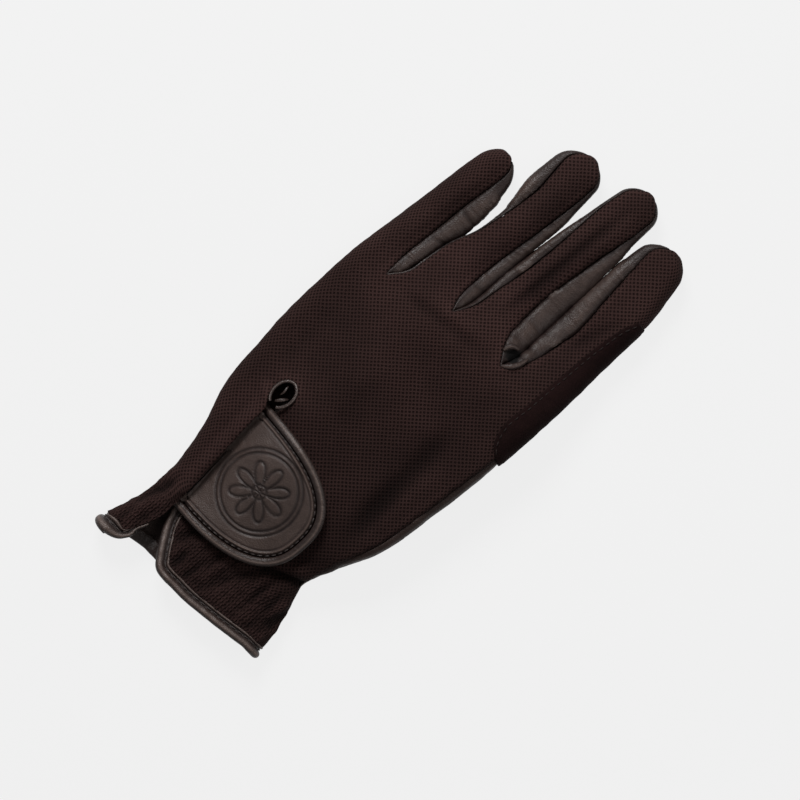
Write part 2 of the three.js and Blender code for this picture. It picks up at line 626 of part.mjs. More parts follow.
// An oval ring of points round a centre, across two directions
function oval(centre, wide, thick, width, thickness, sides) {
  return Array.from({ length: sides }, (_, k) => {
    const a = (2 * Math.PI * (k + 0.5)) / sides;
    const fuller = (v) => Math.sign(v) * Math.abs(v) ** 0.75;
    return centre.clone()
      .addScaledVector(wide, (width / 2) * fuller(Math.cos(a)))
      .addScaledVector(thick, (thickness / 2) * fuller(Math.sin(a)));
  });
}

const colours = {
  mesh: { color: 0x241918, roughness: 0.9, metalness: 0 },
  leather: { color: 0x433733, roughness: 0.55, metalness: 0 },
  binding: { color: 0x4a3d39, roughness: 0.5, metalness: 0 },
  suede: { color: 0x1e1412, roughness: 1, metalness: 0 },
  touch: { color: 0x271c1a, roughness: 0.95, metalness: 0 },
};
const glove = new THREE.Group();

function addPiece(name, geometry, colour) {
  const mesh = new THREE.Mesh(geometry, new THREE.MeshStandardMaterial(colours[colour]));
  mesh.name = name;
  glove.add(mesh);
  return mesh;
}

// The panels of the hand and the fingers
const backRows = [0, 1, 2, 3].map((strip) => [
  ...HAND_ROWS.map((row) => backRow(strip, row, null)),
  ...fingerOuts(strip).map((out) => backRow(strip, 1, out)),
]);
const palmRows = [0, 1, 2, 3].map((strip) => [
  ...HAND_ROWS.map((row) => palmRow(strip, row, null)),
  ...fingerOuts(strip).map((out) => palmRow(strip, 1, out)),
]);

// The thumb hole is an oval in the index strip of the palm
const holeCentre = new THREE.Vector2();
function cutThumbHole(rows) {
  const { first, last } = HOLE_ROWS;
  const corners = [rows[first][0], rows[first][UNDER.flat], rows[last][0], rows[last][UNDER.flat]];
  for (const corner of corners) holeCentre.add(new THREE.Vector2(corner.x, corner.y).multiplyScalar(0.25));
  for (let i = first; i <= last; i += 1) {
    for (let j = 0; j <= UNDER.flat; j += 1) {
      if (i > first && i < last && j > 0 && j < UNDER.flat) continue;
      const across = (2 * j) / UNDER.flat - 1;
      const along = (2 * (i - first)) / (last - first) - 1;
      const angle = Math.atan2(along, across);
      rows[i][j].x = holeCentre.x + (HOLE_WIDTH / 2) * Math.cos(angle);
      rows[i][j].y = holeCentre.y + (HOLE_LENGTH / 2) * Math.sin(angle);
      rows[i][j].z = lowFace(rows[i][j].x, rows[i][j].y);
    }
  }
}
cutThumbHole(palmRows[3]);
for (let i = HOLE_ROWS.first; i <= HOLE_ROWS.last; i += 1) {
  palmRows[2][i][UNDER.middle].copy(palmRows[3][i][0]);
}
const inHole = (i, j) => i >= HOLE_ROWS.first && i < HOLE_ROWS.last && j < UNDER.flat;

const skin = new Skin();
for (const rows of backRows) skin.add('back', rows);
for (const [strip, rows] of palmRows.entries()) {
  const touchRow = HAND_ROWS.length - 1
    + fingerOuts(3).findIndex((out) => (1 - out) * INDEX.length < TOUCH_LENGTH);
  const isTouch = (i) => strip === 3 && i >= touchRow;
  skin.add('palm', rows, true, (i, j) => (strip === 3 && inHole(i, j)) || isTouch(i));
  if (strip === 3) skin.add('touch_tip', rows, true, (i) => !isTouch(i));
}
const GUSSETS = ['fourchette_little_ring', 'fourchette_ring_middle', 'fourchette_middle_index'];
for (const [k, name] of GUSSETS.entries()) {
  const up = [0, ...fingerOuts(k)].map((out) => sideRow(k, 'right', out));
  const down = [0, ...fingerOuts(k + 1)].map((out) => sideRow(k + 1, 'left', out));
  skin.add(name, up);
  skin.add(name, down, true);
}
skin.measure();
addPiece('back', skin.wall('back', MESH_WALL), 'mesh');
addPiece('palm', skin.wall('palm', LEATHER_WALL), 'leather');
addPiece('touch_tip', skin.wall('touch_tip', LEATHER_WALL), 'touch');
for (const name of GUSSETS) addPiece(name, skin.wall(name, LEATHER_WALL), 'leather');

// The suede patch is laid over the thumb edge, where the back and the palm meet
function suedePatch() {
  const patch = new Skin();
  const firstRow = HAND_ROWS.findIndex((row) => row >= PATCH_START - 0.001);
  const lastRow = HAND_ROWS.length - 1 + fingerOuts(3).filter((out) => out <= PATCH_END + 0.03).length;
  const rows = [];
  for (let i = firstRow; i <= lastRow; i += 1) {
    const over = backRows[3][i].slice(OVER.flat - 1).map((p) => p.clone());
    const round = palmRows[3][i].slice(UNDER.flat + 2, -1).reverse().map((p) => p.clone());
    if (i === firstRow || i === lastRow) over[0].lerp(over[1], i === firstRow ? 0.8 : 0.2);
    rows.push([...over, ...round]);
  }
  patch.add('index_patch', rows);
  patch.measure();
  return patch.wall('index_patch', SUEDE_WALL, LAY_GAP + SUEDE_WALL);
}
addPiece('index_patch', suedePatch(), 'suede');

// The thumb: its rings turn from the hole's level down to upright ones, and then run on to the tip
function thumbRows() {
  const along = new THREE.Vector3(-THUMB_LEAN, 1, 0).normalize();
  const across = new THREE.Vector3(1, THUMB_LEAN, 0).normalize();
  const start = new THREE.Vector3(holeCentre.x, holeCentre.y, 0).addScaledVector(along, HOLE_LENGTH / 2);
  const top = (p, turned) => Math.min(lowFace(p.x, p.y), THUMB_LIFT) - mix(THUMB_ROOT_GAP, THUMB_TOP_GAP, turned);
  const stations = [0, 8, 18, 32, 50, 70, 90].map((degrees) => ({ degrees, out: THUMB_TURN * (degrees / 90) }));
  const free = [0.2, 0.38, 0.56, 0.72, 1 - TIP_ROUND / THUMB_LENGTH];
  for (const out of free) stations.push({ degrees: 90, out: mix(THUMB_TURN, THUMB_LENGTH, out) });
  for (const t of TIP_STEPS.slice(1)) {
    stations.push({ degrees: 90, out: THUMB_LENGTH - TIP_ROUND * (1 - t), round: t });
  }
  return stations.map(({ degrees, out, round = 0 }) => {
    const a = radians(degrees);
    const fold = Math.hypot(Math.cos(a) / HOLE_LENGTH, Math.sin(a) / THUMB_HEIGHT) ** -1;
    const turned = degrees / 90;
    const width = mix(HOLE_WIDTH + 1, THUMB_WIDTH, step(turned, 0, 1)) * Math.sqrt(1 - round ** 2);
    const tall = fold * mix(1, 0.6, round ** 2);
    const down = new THREE.Vector3(0, 0, -Math.sin(a)).addScaledVector(along, -Math.cos(a));
    return Array.from({ length: 17 }, (_, k) => {
      const angle = Math.PI / 2 + (2 * Math.PI * k) / 16;
      const fuller = (v) => Math.sign(v) * Math.abs(v) ** mix(1, 0.72, turned);
      const deep = (1 - fuller(Math.sin(angle))) / 2;
      const point = start.clone().addScaledVector(along, out - 2.2 * round ** 4 * (2 * deep - 1) ** 2)
        .addScaledVector(across, (width / 2) * fuller(Math.cos(angle)))
        .addScaledVector(down, fold / 2 + (deep - 0.5) * tall);
      point.z += top(point, turned);
      return point;
    });
  });
}
const thumb = new Skin();
const rows = thumbRows();
thumb.add('thumb_leather', rows.map((row) => row.slice(0, 9)), true);
thumb.add('thumb_mesh', rows.map((row) => row.slice(8)), true);
thumb.measure();
addPiece('thumb_leather', thumb.wall('thumb_leather', LEATHER_WALL), 'leather');
addPiece('thumb_mesh', thumb.wall('thumb_mesh', MESH_WALL), 'mesh');

// The closing tab springs from the little side of the slit and lies over the thumb side
const slitTop = linePoint('back_little', 1, 0.515);
const slitFoot = linePoint('back_little', 1, 0.145);
const tabBase = new THREE.Vector2((slitTop.x + slitFoot.x) / 2 + 2 * LAY_GAP, (slitTop.y + slitFoot.y) / 2);
const tabLean = Math.atan2(slitTop.x - slitFoot.x, slitTop.y - slitFoot.y);

// A point of the tab: reach is 0 at the middle of its base and 1 at its rim, and angle turns round the rim
function tabPoint(reach, angle, inset = 0) {
  const power = 2 / TAB_CORNER;
  const along = (TAB_LENGTH - inset) * Math.cos(angle) ** power * reach;
  const aside = (TAB_WIDTH / 2 - inset) * Math.sign(angle) * Math.abs(Math.sin(angle)) ** power * reach;
  const lean = tabLean * (1 - along / TAB_LENGTH);
  return new THREE.Vector2(tabBase.x + along + aside * Math.sin(lean), tabBase.y + aside * Math.cos(lean));
}

// Height of the tab's upper face
function tabTop(x, y) {
  const away = (x - tabBase.x) / TAB_LENGTH;
  return highFace(x, y) + mix(-0.2, TAB_RISE, step(away, -0.05, 0.46));
}

function tabBody() {
  const body = new Skin();
  const angles = shares(16).map((s) => mix(-Math.PI / 2, Math.PI / 2, s));
  const inset = TAB_ROLL + SEAM_GAP;
  const rings = [0.02, 0.4, 0.7, 0.9, 1].map((reach) => angles.map((angle) => {
    const p = tabPoint(reach, angle, inset);
    return new THREE.Vector3(p.x, p.y, tabTop(p.x, p.y) - 0.4);
  }));
  const hub = angles.map(() => rings[0][8].clone());
  body.add('tab', [hub, ...rings.slice(1)], true);
  body.measure();
  return body.wall('tab', TAB_THICKNESS - 0.4);
}
addPiece('tab', tabBody(), 'leather');

function tabBinding() {
  const up = new THREE.Vector3(0, 0, 1);
  const rings = shares(26).map((s) => {
    const angle = mix(-Math.PI / 2, Math.PI / 2, s);
    const outer = tabPoint(1, angle);
    const inner = tabPoint(1, angle, TAB_ROLL);
    const wide = new THREE.Vector3(outer.x - inner.x, outer.y - inner.y, 0);
    const centre = outer.clone().add(inner).multiplyScalar(0.5);
    const z = tabTop(centre.x, centre.y) - TAB_ROLL_HEIGHT / 2 + 0.4;
    const width = Math.min(wide.length(), TAB_ROLL * 1.25);
    return oval(new THREE.Vector3(centre.x, centre.y, z), wide.normalize(), up, width, TAB_ROLL_HEIGHT, 8);
  });
  return rod(rings.reverse());
}
addPiece('tab_binding', tabBinding(), 'binding');

// The pad that holds the tab down lies hidden between the back and the tab
function closurePad() {
  const pad = new Skin();
  const grid = shares(4).map((v) => shares(4).map((u) => {
    const x = tabBase.x + 0.58 * TAB_LENGTH + PAD_LENGTH * (u - 0.5);
    const y = tabBase.y + PAD_WIDTH * (v - 0.5);
    return new THREE.Vector3(x, y, highFace(x, y) - tuck(x, y) + 1.6 * LAY_GAP + PAD_THICKNESS);
  }));
  pad.add('closure_pad', grid);
  pad.measure();
  return pad.wall('closure_pad', PAD_THICKNESS);
}
addPiece('closure_pad', closurePad(), 'suede');

// The rolled edge round the keyhole at the top of the slit
function keyholeLoop() {
  const up = new THREE.Vector3(0, 0, 1);
  const edge = ['back_little', 'back_thumb'].map((panel) => shares(6).map((s) => linePoint(panel, 1, mix(0.522, 0.6, s))));
  const crown = linePoint('back_little', 1, 0.614);
  const path = [...edge[0], crown, ...edge[1].reverse()];
  const rings = path.map((p, i) => {
    const before = path[Math.max(i - 1, 0)];
    const after = path[Math.min(i + 1, path.length - 1)];
    const wide = new THREE.Vector3(after.y - before.y, before.x - after.x, 0).normalize();
    const z = highFace(p.x, p.y) + LAY_GAP + LOOP_CORD / 2;
    return oval(new THREE.Vector3(p.x, p.y, z), wide, up, LOOP_CORD, LOOP_CORD, 6);
  });
  return rod(rings.reverse());
}
addPiece('keyhole_loop', keyholeLoop(), 'binding');

// The binding follows the slit's thumb edge, the hem of the back, round under the palm, and the little corner
function hemBinding() {
  const stops = [];
  const take = (edge, inside, normal) => stops.push({ edge, out: edge.clone().sub(inside).normalize(), normal });
  const slit = backRows[1];
  for (let i = 3; i > 0; i -= 1) take(slit[i][0], slit[i][1], null);
  const corner = slit[0][0].clone();
  take(corner, slit[1][1], null);
  for (const strip of [1, 2, 3]) {
    for (let j = 1; j < backRows[strip][0].length; j += 1) take(backRows[strip][0][j], backRows[strip][1][j]);
  }
  for (const strip of [3, 2, 1, 0]) {
    for (let j = palmRows[strip][0].length - 2; j >= 0; j -= 1) take(palmRows[strip][0][j], palmRows[strip][1][j]);
  }
  for (let j = 1; j < backRows[0][0].length; j += 1) take(backRows[0][0][j], backRows[0][1][j]);
  const rings = stops.map(({ edge, out }, i) => {
    const before = stops[Math.max(i - 1, 0)].edge;
    const after = stops[Math.min(i + 1, stops.length - 1)].edge;
    const along = after.clone().sub(before).normalize();
    const wide = out.clone().addScaledVector(along, -out.dot(along)).normalize();
    const thick = new THREE.Vector3().crossVectors(along, wide);
    const centre = edge.clone().addScaledVector(thick, MESH_WALL / 2)
      .addScaledVector(wide, SEAM_GAP + BINDING_WIDTH / 2);
    return oval(centre, wide, thick, BINDING_WIDTH, BINDING_THICKNESS, 8);
  });
  return rod(rings);
}
addPiece('hem_binding', hemBinding(), 'binding');

// The glove's own origin is in the middle of the rectangle that it covers, on the surface
const bounds = new THREE.Box3().setFromObject(glove);
const middle = bounds.getCenter(new THREE.Vector3());
glove.position.set(-middle.x, -middle.y, -bounds.min.z);

const part = new THREE.Group();
part.add(glove);
export default part;
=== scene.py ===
# A horse riding glove for the left hand, palm down, with its fingers pointing away from the cuff.
import bpy
import numpy as np
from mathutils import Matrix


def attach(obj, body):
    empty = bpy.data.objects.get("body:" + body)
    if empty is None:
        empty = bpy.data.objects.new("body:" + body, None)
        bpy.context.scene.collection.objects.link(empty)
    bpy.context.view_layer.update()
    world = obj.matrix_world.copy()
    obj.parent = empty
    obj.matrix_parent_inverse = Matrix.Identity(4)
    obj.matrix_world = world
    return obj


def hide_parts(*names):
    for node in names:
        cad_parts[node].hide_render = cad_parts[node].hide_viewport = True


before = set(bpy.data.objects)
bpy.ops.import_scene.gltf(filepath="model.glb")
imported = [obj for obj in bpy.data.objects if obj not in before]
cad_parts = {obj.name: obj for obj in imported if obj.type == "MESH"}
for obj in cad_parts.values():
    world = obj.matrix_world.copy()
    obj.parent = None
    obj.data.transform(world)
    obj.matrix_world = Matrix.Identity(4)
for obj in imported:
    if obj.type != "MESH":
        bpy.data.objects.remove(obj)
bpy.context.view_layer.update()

# The view. The camera hangs straight over the glove and is turned so that the fingers point up to the right.
# The glove's shapes are worked out in millimetres from the hand's middle line and its hem, and HAND_TO_PART
# moves them to where the part has its origin.
HAND_TO_PART = np.array((1.753, -106.464, 0.003))
CAMERA_TURN = 48
CAMERA_HEIGHT = 1600
VIEW_MIDDLE = np.array((3.0, 102.9, 12.0))
VIEW_WIDTH = 288
camera_data = bpy.data.cameras.new("camera")
camera = bpy.data.objects.new("camera", camera_data)
bpy.context.collection.objects.link(camera)
camera.location = (VIEW_MIDDLE + HAND_TO_PART + (0, 0, CAMERA_HEIGHT)) / 1000
camera.rotation_euler = (0, 0, np.radians(CAMERA_TURN))
camera_data.angle = 2 * np.arctan(VIEW_WIDTH / 2 / CAMERA_HEIGHT)
camera_data.clip_start = 0.01
bpy.context.scene.camera = camera

# The back of the hand and of the fingers: one panel of dark knitted mesh with a fine diagonal lattice.
# It is cut open by a slit from the hem up to a keyhole, and it is turned in at its seams.
PALM_LENGTH, PALM_WIDTH, HAND_HEIGHT, CUFF_HEIGHT = 132, 94, 11, 9.8
EDGE_ROLL, THUMB_LIFT, HEM_RISE = 6, 9.4, 1
FINGER_HEIGHT, TIP_ROUND, SIDE_INSET, FINGER_START = 12, 7.5, 1.2, 20
FINGER_LENGTHS = (61.5, 75.5, 82.3, 74.3)
FINGER_WIDTHS = (19, 20, 20, 24)
SLIT_DIP, SLIT_STAGGER, CORNER_SAG, KEYHOLE_ROW = 3.6, 0.018, 0.016, 0.614
SECTION_BACK_SEAM, SECTION_MIDDLE, SECTION_PALM_SEAM = 0.72, 0.46, 0.2
ARCH_POWER, EDGE_ARC, THUMB_PUFF = 2.2, 7, 1.2
TIP_WIDTH_LEFT, TIP_SAG, TIP_SEAM, INDEX_DROP = 0.36, 0.9, 0.45, 2.6
LITTLE_SEAM, FINGER_SEAM = -32, -14

# Shares of the palm's length up the hand, and across it shares of the palm's width
HAND_EDGES = dict(
    up=(0, 0.06, 0.15, 0.25, 0.34, 0.45, 0.61, 0.76, 0.89, 1.07),
    little=(-0.404, -0.372, -0.356, -0.372, -0.403, -0.463, -0.498, -0.516, -0.521, -0.512),
    thumb=(0.394, 0.386, 0.356, 0.312, 0.352, 0.412, 0.446, 0.462, 0.468, 0.47))
BACK_LINES = dict(
    up=(0, 0.045, 0.085, 0.135, 0.3, 0.44, 0.5, 0.53, 0.567, 0.583, 0.591, 0.597, 0.8, 0.981, 1.045),
    slit_little=(-0.292, -0.266, -0.25, -0.249, -0.266, -0.281, -0.289, -0.317, -0.321, -0.311, -0.286,
                 -0.287, -0.325, -0.362, -0.362),
    slit_thumb=(-0.085, -0.136, -0.176, -0.205, -0.226, -0.24, -0.248, -0.246, -0.246, -0.26, -0.286, -0.287,
                -0.325, -0.362, -0.362),
    ring_middle=(0.06, 0.01, -0.03, -0.05, -0.06, -0.066, -0.07, -0.072, -0.075, -0.076, -0.077, -0.077,
                 -0.083, -0.085, -0.085),
    middle_index=(0.215, 0.17, 0.145, 0.135, 0.14, 0.152, 0.16, 0.163, 0.167, 0.169, 0.17, 0.17,
                  0.183, 0.19, 0.191))
PALM_LINES = dict(
    up=(0, 0.25, 0.42, 0.66, 0.981, 1.045),
    little_ring=(-0.22, -0.22, -0.26, -0.31, -0.362, -0.362),
    ring_middle=(-0.06, -0.06, -0.07, -0.075, -0.085, -0.085),
    middle_index=(0.13, 0.12, 0.155, 0.165, 0.19, 0.191))
BACK_HEM = (0, -0.012, 0.01, 0.026, 0.045)
PALM_HEM = (0, 0.02, 0.024, 0.03, 0.045)
KNUCKLES = (0.985, 0.981, 1.045, 1.045, 1.068)
HAND_HEIGHTS = dict(up=(0.2, 0.3, 0.45, 0.75, 1.07), share=(0.88, 0.88, 0.93, 1, 1.02))
THUMB_SEAM = dict(up=(0, 0.24, 0.34, 0.5, 0.8, 0.95, 1.07), degrees=(4, 6, 42, 56, 54, 34, 10))

# Fingers: out is a share of the length, and the others are steps from the crotch as shares of the width
FINGERS = (
    dict(out=(0, 0.08, 0.16, 0.33, 0.5, 0.65, 0.81, 0.92, 1),
         left=(0, 0.027, 0.053, 0.105, 0.147, 0.179, 0.232, 0.284, 0.337),
         left_seam=(0, 0, 0, 0, 0, 0, 0, 0, 0),
         right_seam=(0, -0.02, -0.026, 0, 0.026, 0.053, 0.105, 0.132, 0.158),
         right=(0, 0.2, 0.25, 0.3, 0.42, 0.42, 0.37, 0.29, 0.237)),
    dict(out=(0, 0.07, 0.18, 0.3, 0.42, 0.52, 0.62, 0.73, 0.85, 0.93, 1),
         left=(0, 0.2, 0.27, 0.34, 0.5, 0.55, 0.54, 0.45, 0.435, 0.48, 0.55),
         left_seam=(0, 0.2, 0.275, 0.35, 0.515, 0.6, 0.66, 0.685, 0.625, 0.6, 0.625),
         right_seam=(0, -0.1, -0.125, -0.115, -0.08, -0.04, 0, 0.035, 0.055, 0.05, 0.04),
         right=(0, 0.09, 0.115, 0.125, 0.13, 0.14, 0.16, 0.17, 0.14, 0.11, 0.075)),
    dict(out=(0, 0.09, 0.2, 0.33, 0.45, 0.64, 0.8, 0.92, 1),
         left=(0, 0.1, 0.13, 0.15, 0.2, 0.275, 0.345, 0.42, 0.48),
         left_seam=(0, 0.17, 0.24, 0.315, 0.36, 0.385, 0.395, 0.465, 0.51),
         right_seam=(0, -0.25, -0.33, -0.355, -0.33, -0.225, -0.13, -0.09, -0.11),
         right=(0, 0.1, 0.09, 0.075, 0.06, 0.025, 0, -0.02, -0.06)),
    dict(out=(0, 0.1, 0.17, 0.3, 0.37, 0.46, 0.57, 0.68, 0.79, 0.9, 1),
         left=(0, 0.083, 0.083, 0.083, 0.083, 0.083, 0.083, 0.079, 0.067, 0.1, 0.183),
         left_seam=(0, 0.23, 0.296, 0.358, 0.396, 0.379, 0.333, 0.296, 0.263, 0.233, 0.267),
         right_seam=(0, 0, 0, 0, 0, 0, 0, 0, 0, 0, 0),
         right=(0, -0.008, -0.012, -0.03, -0.036, -0.042, -0.048, -0.06, -0.117, -0.192, -0.275)))

# Folds pressed into the panels: a line from one place to another in plan, its half width, and its depth
BACK_FOLDS = (
    dict(start=(27.5, 50), end=(23.5, 110), width=4.2, depth=1.9),
    dict(start=(31.5, 50), end=(31, 92), width=2.6, depth=-0.5),
    dict(start=(-36, 78), end=(-38.5, 112), width=3, depth=0.5),
    dict(start=(-28, 129), end=(14, 137), width=2.2, depth=0.75),
    dict(start=(-24, 135), end=(10, 141), width=3, depth=-0.5),
    dict(start=(12, 24), end=(32, 33.5), width=1.4, depth=2.4),
    dict(start=(13, 28), end=(31, 38), width=2.2, depth=-1.0),
    dict(start=(20, 36), end=(29, 44), width=1.8, depth=0.4),
    dict(start=(5, 146), end=(7.5, 214), width=2.5, depth=1.4),
    dict(start=(10, 152), end=(11, 206), width=2.2, depth=-0.4),
    dict(start=(27, 156), end=(37, 183), width=2.2, depth=0.8),
    dict(start=(-20, 150), end=(-15, 205), width=2.6, depth=-0.3),
    dict(start=(-41, 135), end=(-38, 178), width=2.4, depth=-0.25),
    dict(start=(-13, 14), end=(-4, 3), width=1.6, depth=0.45),
    dict(start=(2, 16), end=(-2, 4), width=1.3, depth=0.4),
    dict(start=(12, 22), end=(9, 6), width=1.4, depth=0.45),
    dict(start=(21, 25), end=(22, 8), width=1.5, depth=0.4),
    dict(start=(29, 26), end=(31, 10), width=1.4, depth=0.4),
    dict(start=(-33, 3), end=(-29, 24), width=1.8, depth=0.4),
    dict(start=(-36, 12), end=(-31, 30), width=1.6, depth=-0.3))
SEAM_DEPTH, SEAM_WIDTH, SEAM_BEAD = 0.34, 0.6, 0.2
RUFFLE, FINE_RUFFLE, SWELL, SMALL_SWELL, SEAM_GATHER = 0.5, 0.16, 0.12, 0.05, 0.1
BACK_COLUMNS = ((16, 12), (30, 0), (28, 0), (26, 10))
WELD_STEP, WELD_SHIFT = 0.004, 0.0017
CUFF_FADE = (18, 30)
MESH_WALL = 1.1
CORNER_DROP = 2.9
FOLD_LIFT, FOLD_OVER, FOLD_END = 2.0, (9, 74), 6
MESH_COLOUR = (0.0212, 0.0108, 0.0096)
MESH_SHADE = (0.0032, 0.0012, 0.001)
# Painted shade added to the mesh's tone in its folds
FOLD_PAINTED_SHADE = 0.6
LATTICE_PITCH = 1.33
RIB_PITCH, CUFF_TOP = 1.55, 27
rng = np.random.default_rng(7)


def mix(a, b, share):
    """a at share 0 and b at share 1, in a straight line."""
    return a + (b - a) * share


def step(value, low, high):
    """A soft step from 0 at low to 1 at high."""
    t = np.clip((value - low) / (high - low), 0, 1)
    return t * t * (3 - 2 * t)


def bell(value, width):
    """A bell over the value: 1 at zero, and 1/e at the width on both sides."""
    return np.exp(-(value / width) ** 2)


def read(table, column, at):
    """A smooth line through the table's points: cubic pieces whose slopes are those of parabolas."""
    key = np.array(next(iter(table.values())), float)
    value = np.array(table[column], float)
    run, rise = np.diff(key), np.diff(value)
    slope = rise / run
    inner = (slope[:-1] * run[1:] + slope[1:] * run[:-1]) / (run[:-1] + run[1:])
    slopes = np.concatenate((slope[:1], inner, slope[-1:]))
    at = np.clip(at, key[0], key[-1])
    i = np.clip(np.searchsorted(key, at, side="right") - 1, 0, len(run) - 1)
    t, span = (at - key[i]) / run[i], run[i]
    return ((2 * t**3 - 3 * t**2 + 1) * value[i] + (t**3 - 2 * t**2 + t) * span * slopes[i]
            + (3 * t**2 - 2 * t**3) * value[i + 1] + (t**3 - t**2) * span * slopes[i + 1])


def low_face(x, y):
    """Height of the palm's outer face, which is lifted where the thumb lies under it."""
    along = step(y, 0.17 * PALM_LENGTH, 0.47 * PALM_LENGTH)
    along = along * (1 - step(y, 0.96 * PALM_LENGTH, 1.27 * PALM_LENGTH))
    across = step(x, -0.49 * PALM_WIDTH, -0.08 * PALM_WIDTH)
    return THUMB_LIFT * along * across + HEM_RISE * (1 - step(y, 0, 0.09 * PALM_LENGTH))


def high_face(x, y):
    """Height of the back's outer face: the palm's face, the hand's height, and a puff over the thumb."""
    share = mix(CUFF_HEIGHT / HAND_HEIGHT, read(HAND_HEIGHTS, "share", y / PALM_LENGTH),
                step(y / PALM_LENGTH, 0, 0.25))
    puff = step(y, 0.21 * PALM_LENGTH, 0.27 * PALM_LENGTH)
    puff = puff * (1 - step(y, 0.3 * PALM_LENGTH, 0.5 * PALM_LENGTH))
    puff = THUMB_PUFF * puff * step(x, 0.1 * PALM_WIDTH, 0.22 * PALM_WIDTH)
    return low_face(x, y) + HAND_HEIGHT * share + puff


def tuck(x, y):
    """How far the thumb side of the slit dips beneath the tab."""
    across = 1 - step(x, -0.235 * PALM_WIDTH, -0.03 * PALM_WIDTH)
    along = 1 - step(y, 0.45 * PALM_LENGTH, 0.58 * PALM_LENGTH)
    along = along * mix(0.35, 1, step(y, 0, 0.12 * PALM_LENGTH))
    return SLIT_DIP * across * along


def corner_drop(x, y):
    """How much lower the hem hangs at the little corner."""
    return CORNER_DROP * bell(x + 36.5, 4.5) * (1 - step(y, -3, 14))


def line_point(panel, line, row):
    """x and y on one of a panel's five lines, with row from 0 at the hem to 1 at the knuckles."""
    names = dict(palm=("little", "little_ring", "ring_middle", "middle_index", "thumb"),
                 back_little=("little", "slit_little"),
                 back_thumb=("", "slit_thumb", "ring_middle", "middle_index", "thumb"))[panel]
    row = np.asarray(row, float)
    up = mix((PALM_HEM if panel == "palm" else BACK_HEM)[line], KNUCKLES[line], row)
    if panel == "back_thumb" and line == 1:
        up = up + SLIT_STAGGER * np.maximum(1 - row / KEYHOLE_ROW, 0)
    table = HAND_EDGES if line in (0, 4) else PALM_LINES if panel == "palm" else BACK_LINES
    return PALM_WIDTH * read(table, names[line], up), PALM_LENGTH * up


def stations(finger, hand_rows, finger_rows, tip_rows=12):
    """Rows from the hem to the knuckles and then out along a finger, closer together at its round tip."""
    hand = np.asarray(hand_rows, float)
    round_share = TIP_ROUND / FINGER_LENGTHS[finger]
    out = np.concatenate((np.linspace(0, 1 - round_share, finger_rows)[1:],
                          1 - round_share + round_share * np.sin(np.linspace(0, np.pi / 2, tip_rows)[1:])))
    return np.concatenate((hand, np.ones(len(out))))[:, None], np.concatenate((0 * hand, out))[:, None]


def section(finger, panel, row, out):
    """Edges and seams in plan of one strip of the skin: the panel's lines, then steps along the finger."""
    y_left, y_right = (line_point("palm", finger + k, 1)[1] for k in (0, 1))
    length, width, table = FINGER_LENGTHS[finger], FINGER_WIDTHS[finger], FINGERS[finger]
    tip = max(y_left, y_right) + length - (INDEX_DROP if finger == 3 else 0)
    q = np.clip(1 - (1 - out) * length / TIP_ROUND, 0, 1)
    (x0, y0), (x1, y1) = (line_point(panel, finger + k, row) for k in (0, 1))
    ends = {c: (x0 if "left" in c else x1) + width * read(table, c, out)
            for c in ("left", "left_seam", "right_seam", "right")}
    centre = (ends["left"] + ends["right"]) / 2
    cap = np.sqrt(1 - (1 - TIP_WIDTH_LEFT**2) * q**2)
    ends = {c: centre + (x - centre) * cap for c, x in ends.items()}
    return dict(ends, y_left=y0 + (tip - y_left) * out, y_right=y1 + (tip - y_right) * out,
                sag=TIP_SAG * q, closing=np.sqrt(1 - q**2), parting=TIP_SEAM * q**2,
                start=step(out * length, 0, FINGER_START))


def heights(s, x, y, extra=0.0):
    """Crown, back seam, middle, palm seam and underside at a place: the hand's faces turn into a finger's."""
    low, high, start = low_face(x, y), high_face(x, y) + extra, s["start"]
    middle = low + SECTION_MIDDLE * mix(high - low, FINGER_HEIGHT, start)

    def squeeze(h):
        """Draws a height towards the middle as the tip closes, and keeps the walls apart."""
        return middle + (h - middle) * s["closing"] + np.sign(h - middle) * s["parting"]
    return dict(crown=squeeze(mix(high, low + FINGER_HEIGHT, start)), middle=middle,
                back_seam=squeeze(mix(high, low + SECTION_BACK_SEAM * FINGER_HEIGHT, start)),
                palm_seam=squeeze(low + SECTION_PALM_SEAM * FINGER_HEIGHT * start), low=squeeze(low))


def roll(edge, turn, y, angle, h, rolled):
    """A point on the rounded outer edge: an ellipse in the upright plane, from -90 below to 90 on top."""
    a = np.radians(angle)
    reach = np.where(angle > 0, h["crown"] - h["middle"], h["middle"] - h["low"])
    x = edge - turn * EDGE_ROLL * rolled * (1 - np.cos(a))
    return np.stack(np.broadcast_arrays(x, y, h["middle"] + reach * np.sin(a)), -1)


def edge_rolled(s):
    """How far the rounded edge reaches in: less on a finger, and least at its tip."""
    return mix(1, 0.85, s["start"]) * mix(0.3, 1, s["closing"])


def seam_angle(y, s):
    """Where the palm's seam runs on the thumb edge."""
    return mix(read(THUMB_SEAM, "degrees", y / PALM_LENGTH), FINGER_SEAM, s["start"])


def laid_across(s, strip, x0, x1, columns):
    """Steps across a strip, its arch from 0 at the crown to 1 at the seams, and x and y of its points."""
    t = np.linspace(0, 1, columns + 1)[None, :]
    arch = {0: t, 3: 1 - t}.get(strip, 2 * t - 1)
    return t, arch, mix(x0, x1, t), mix(s["y_left"], s["y_right"], t) - s["sag"] * arch**2


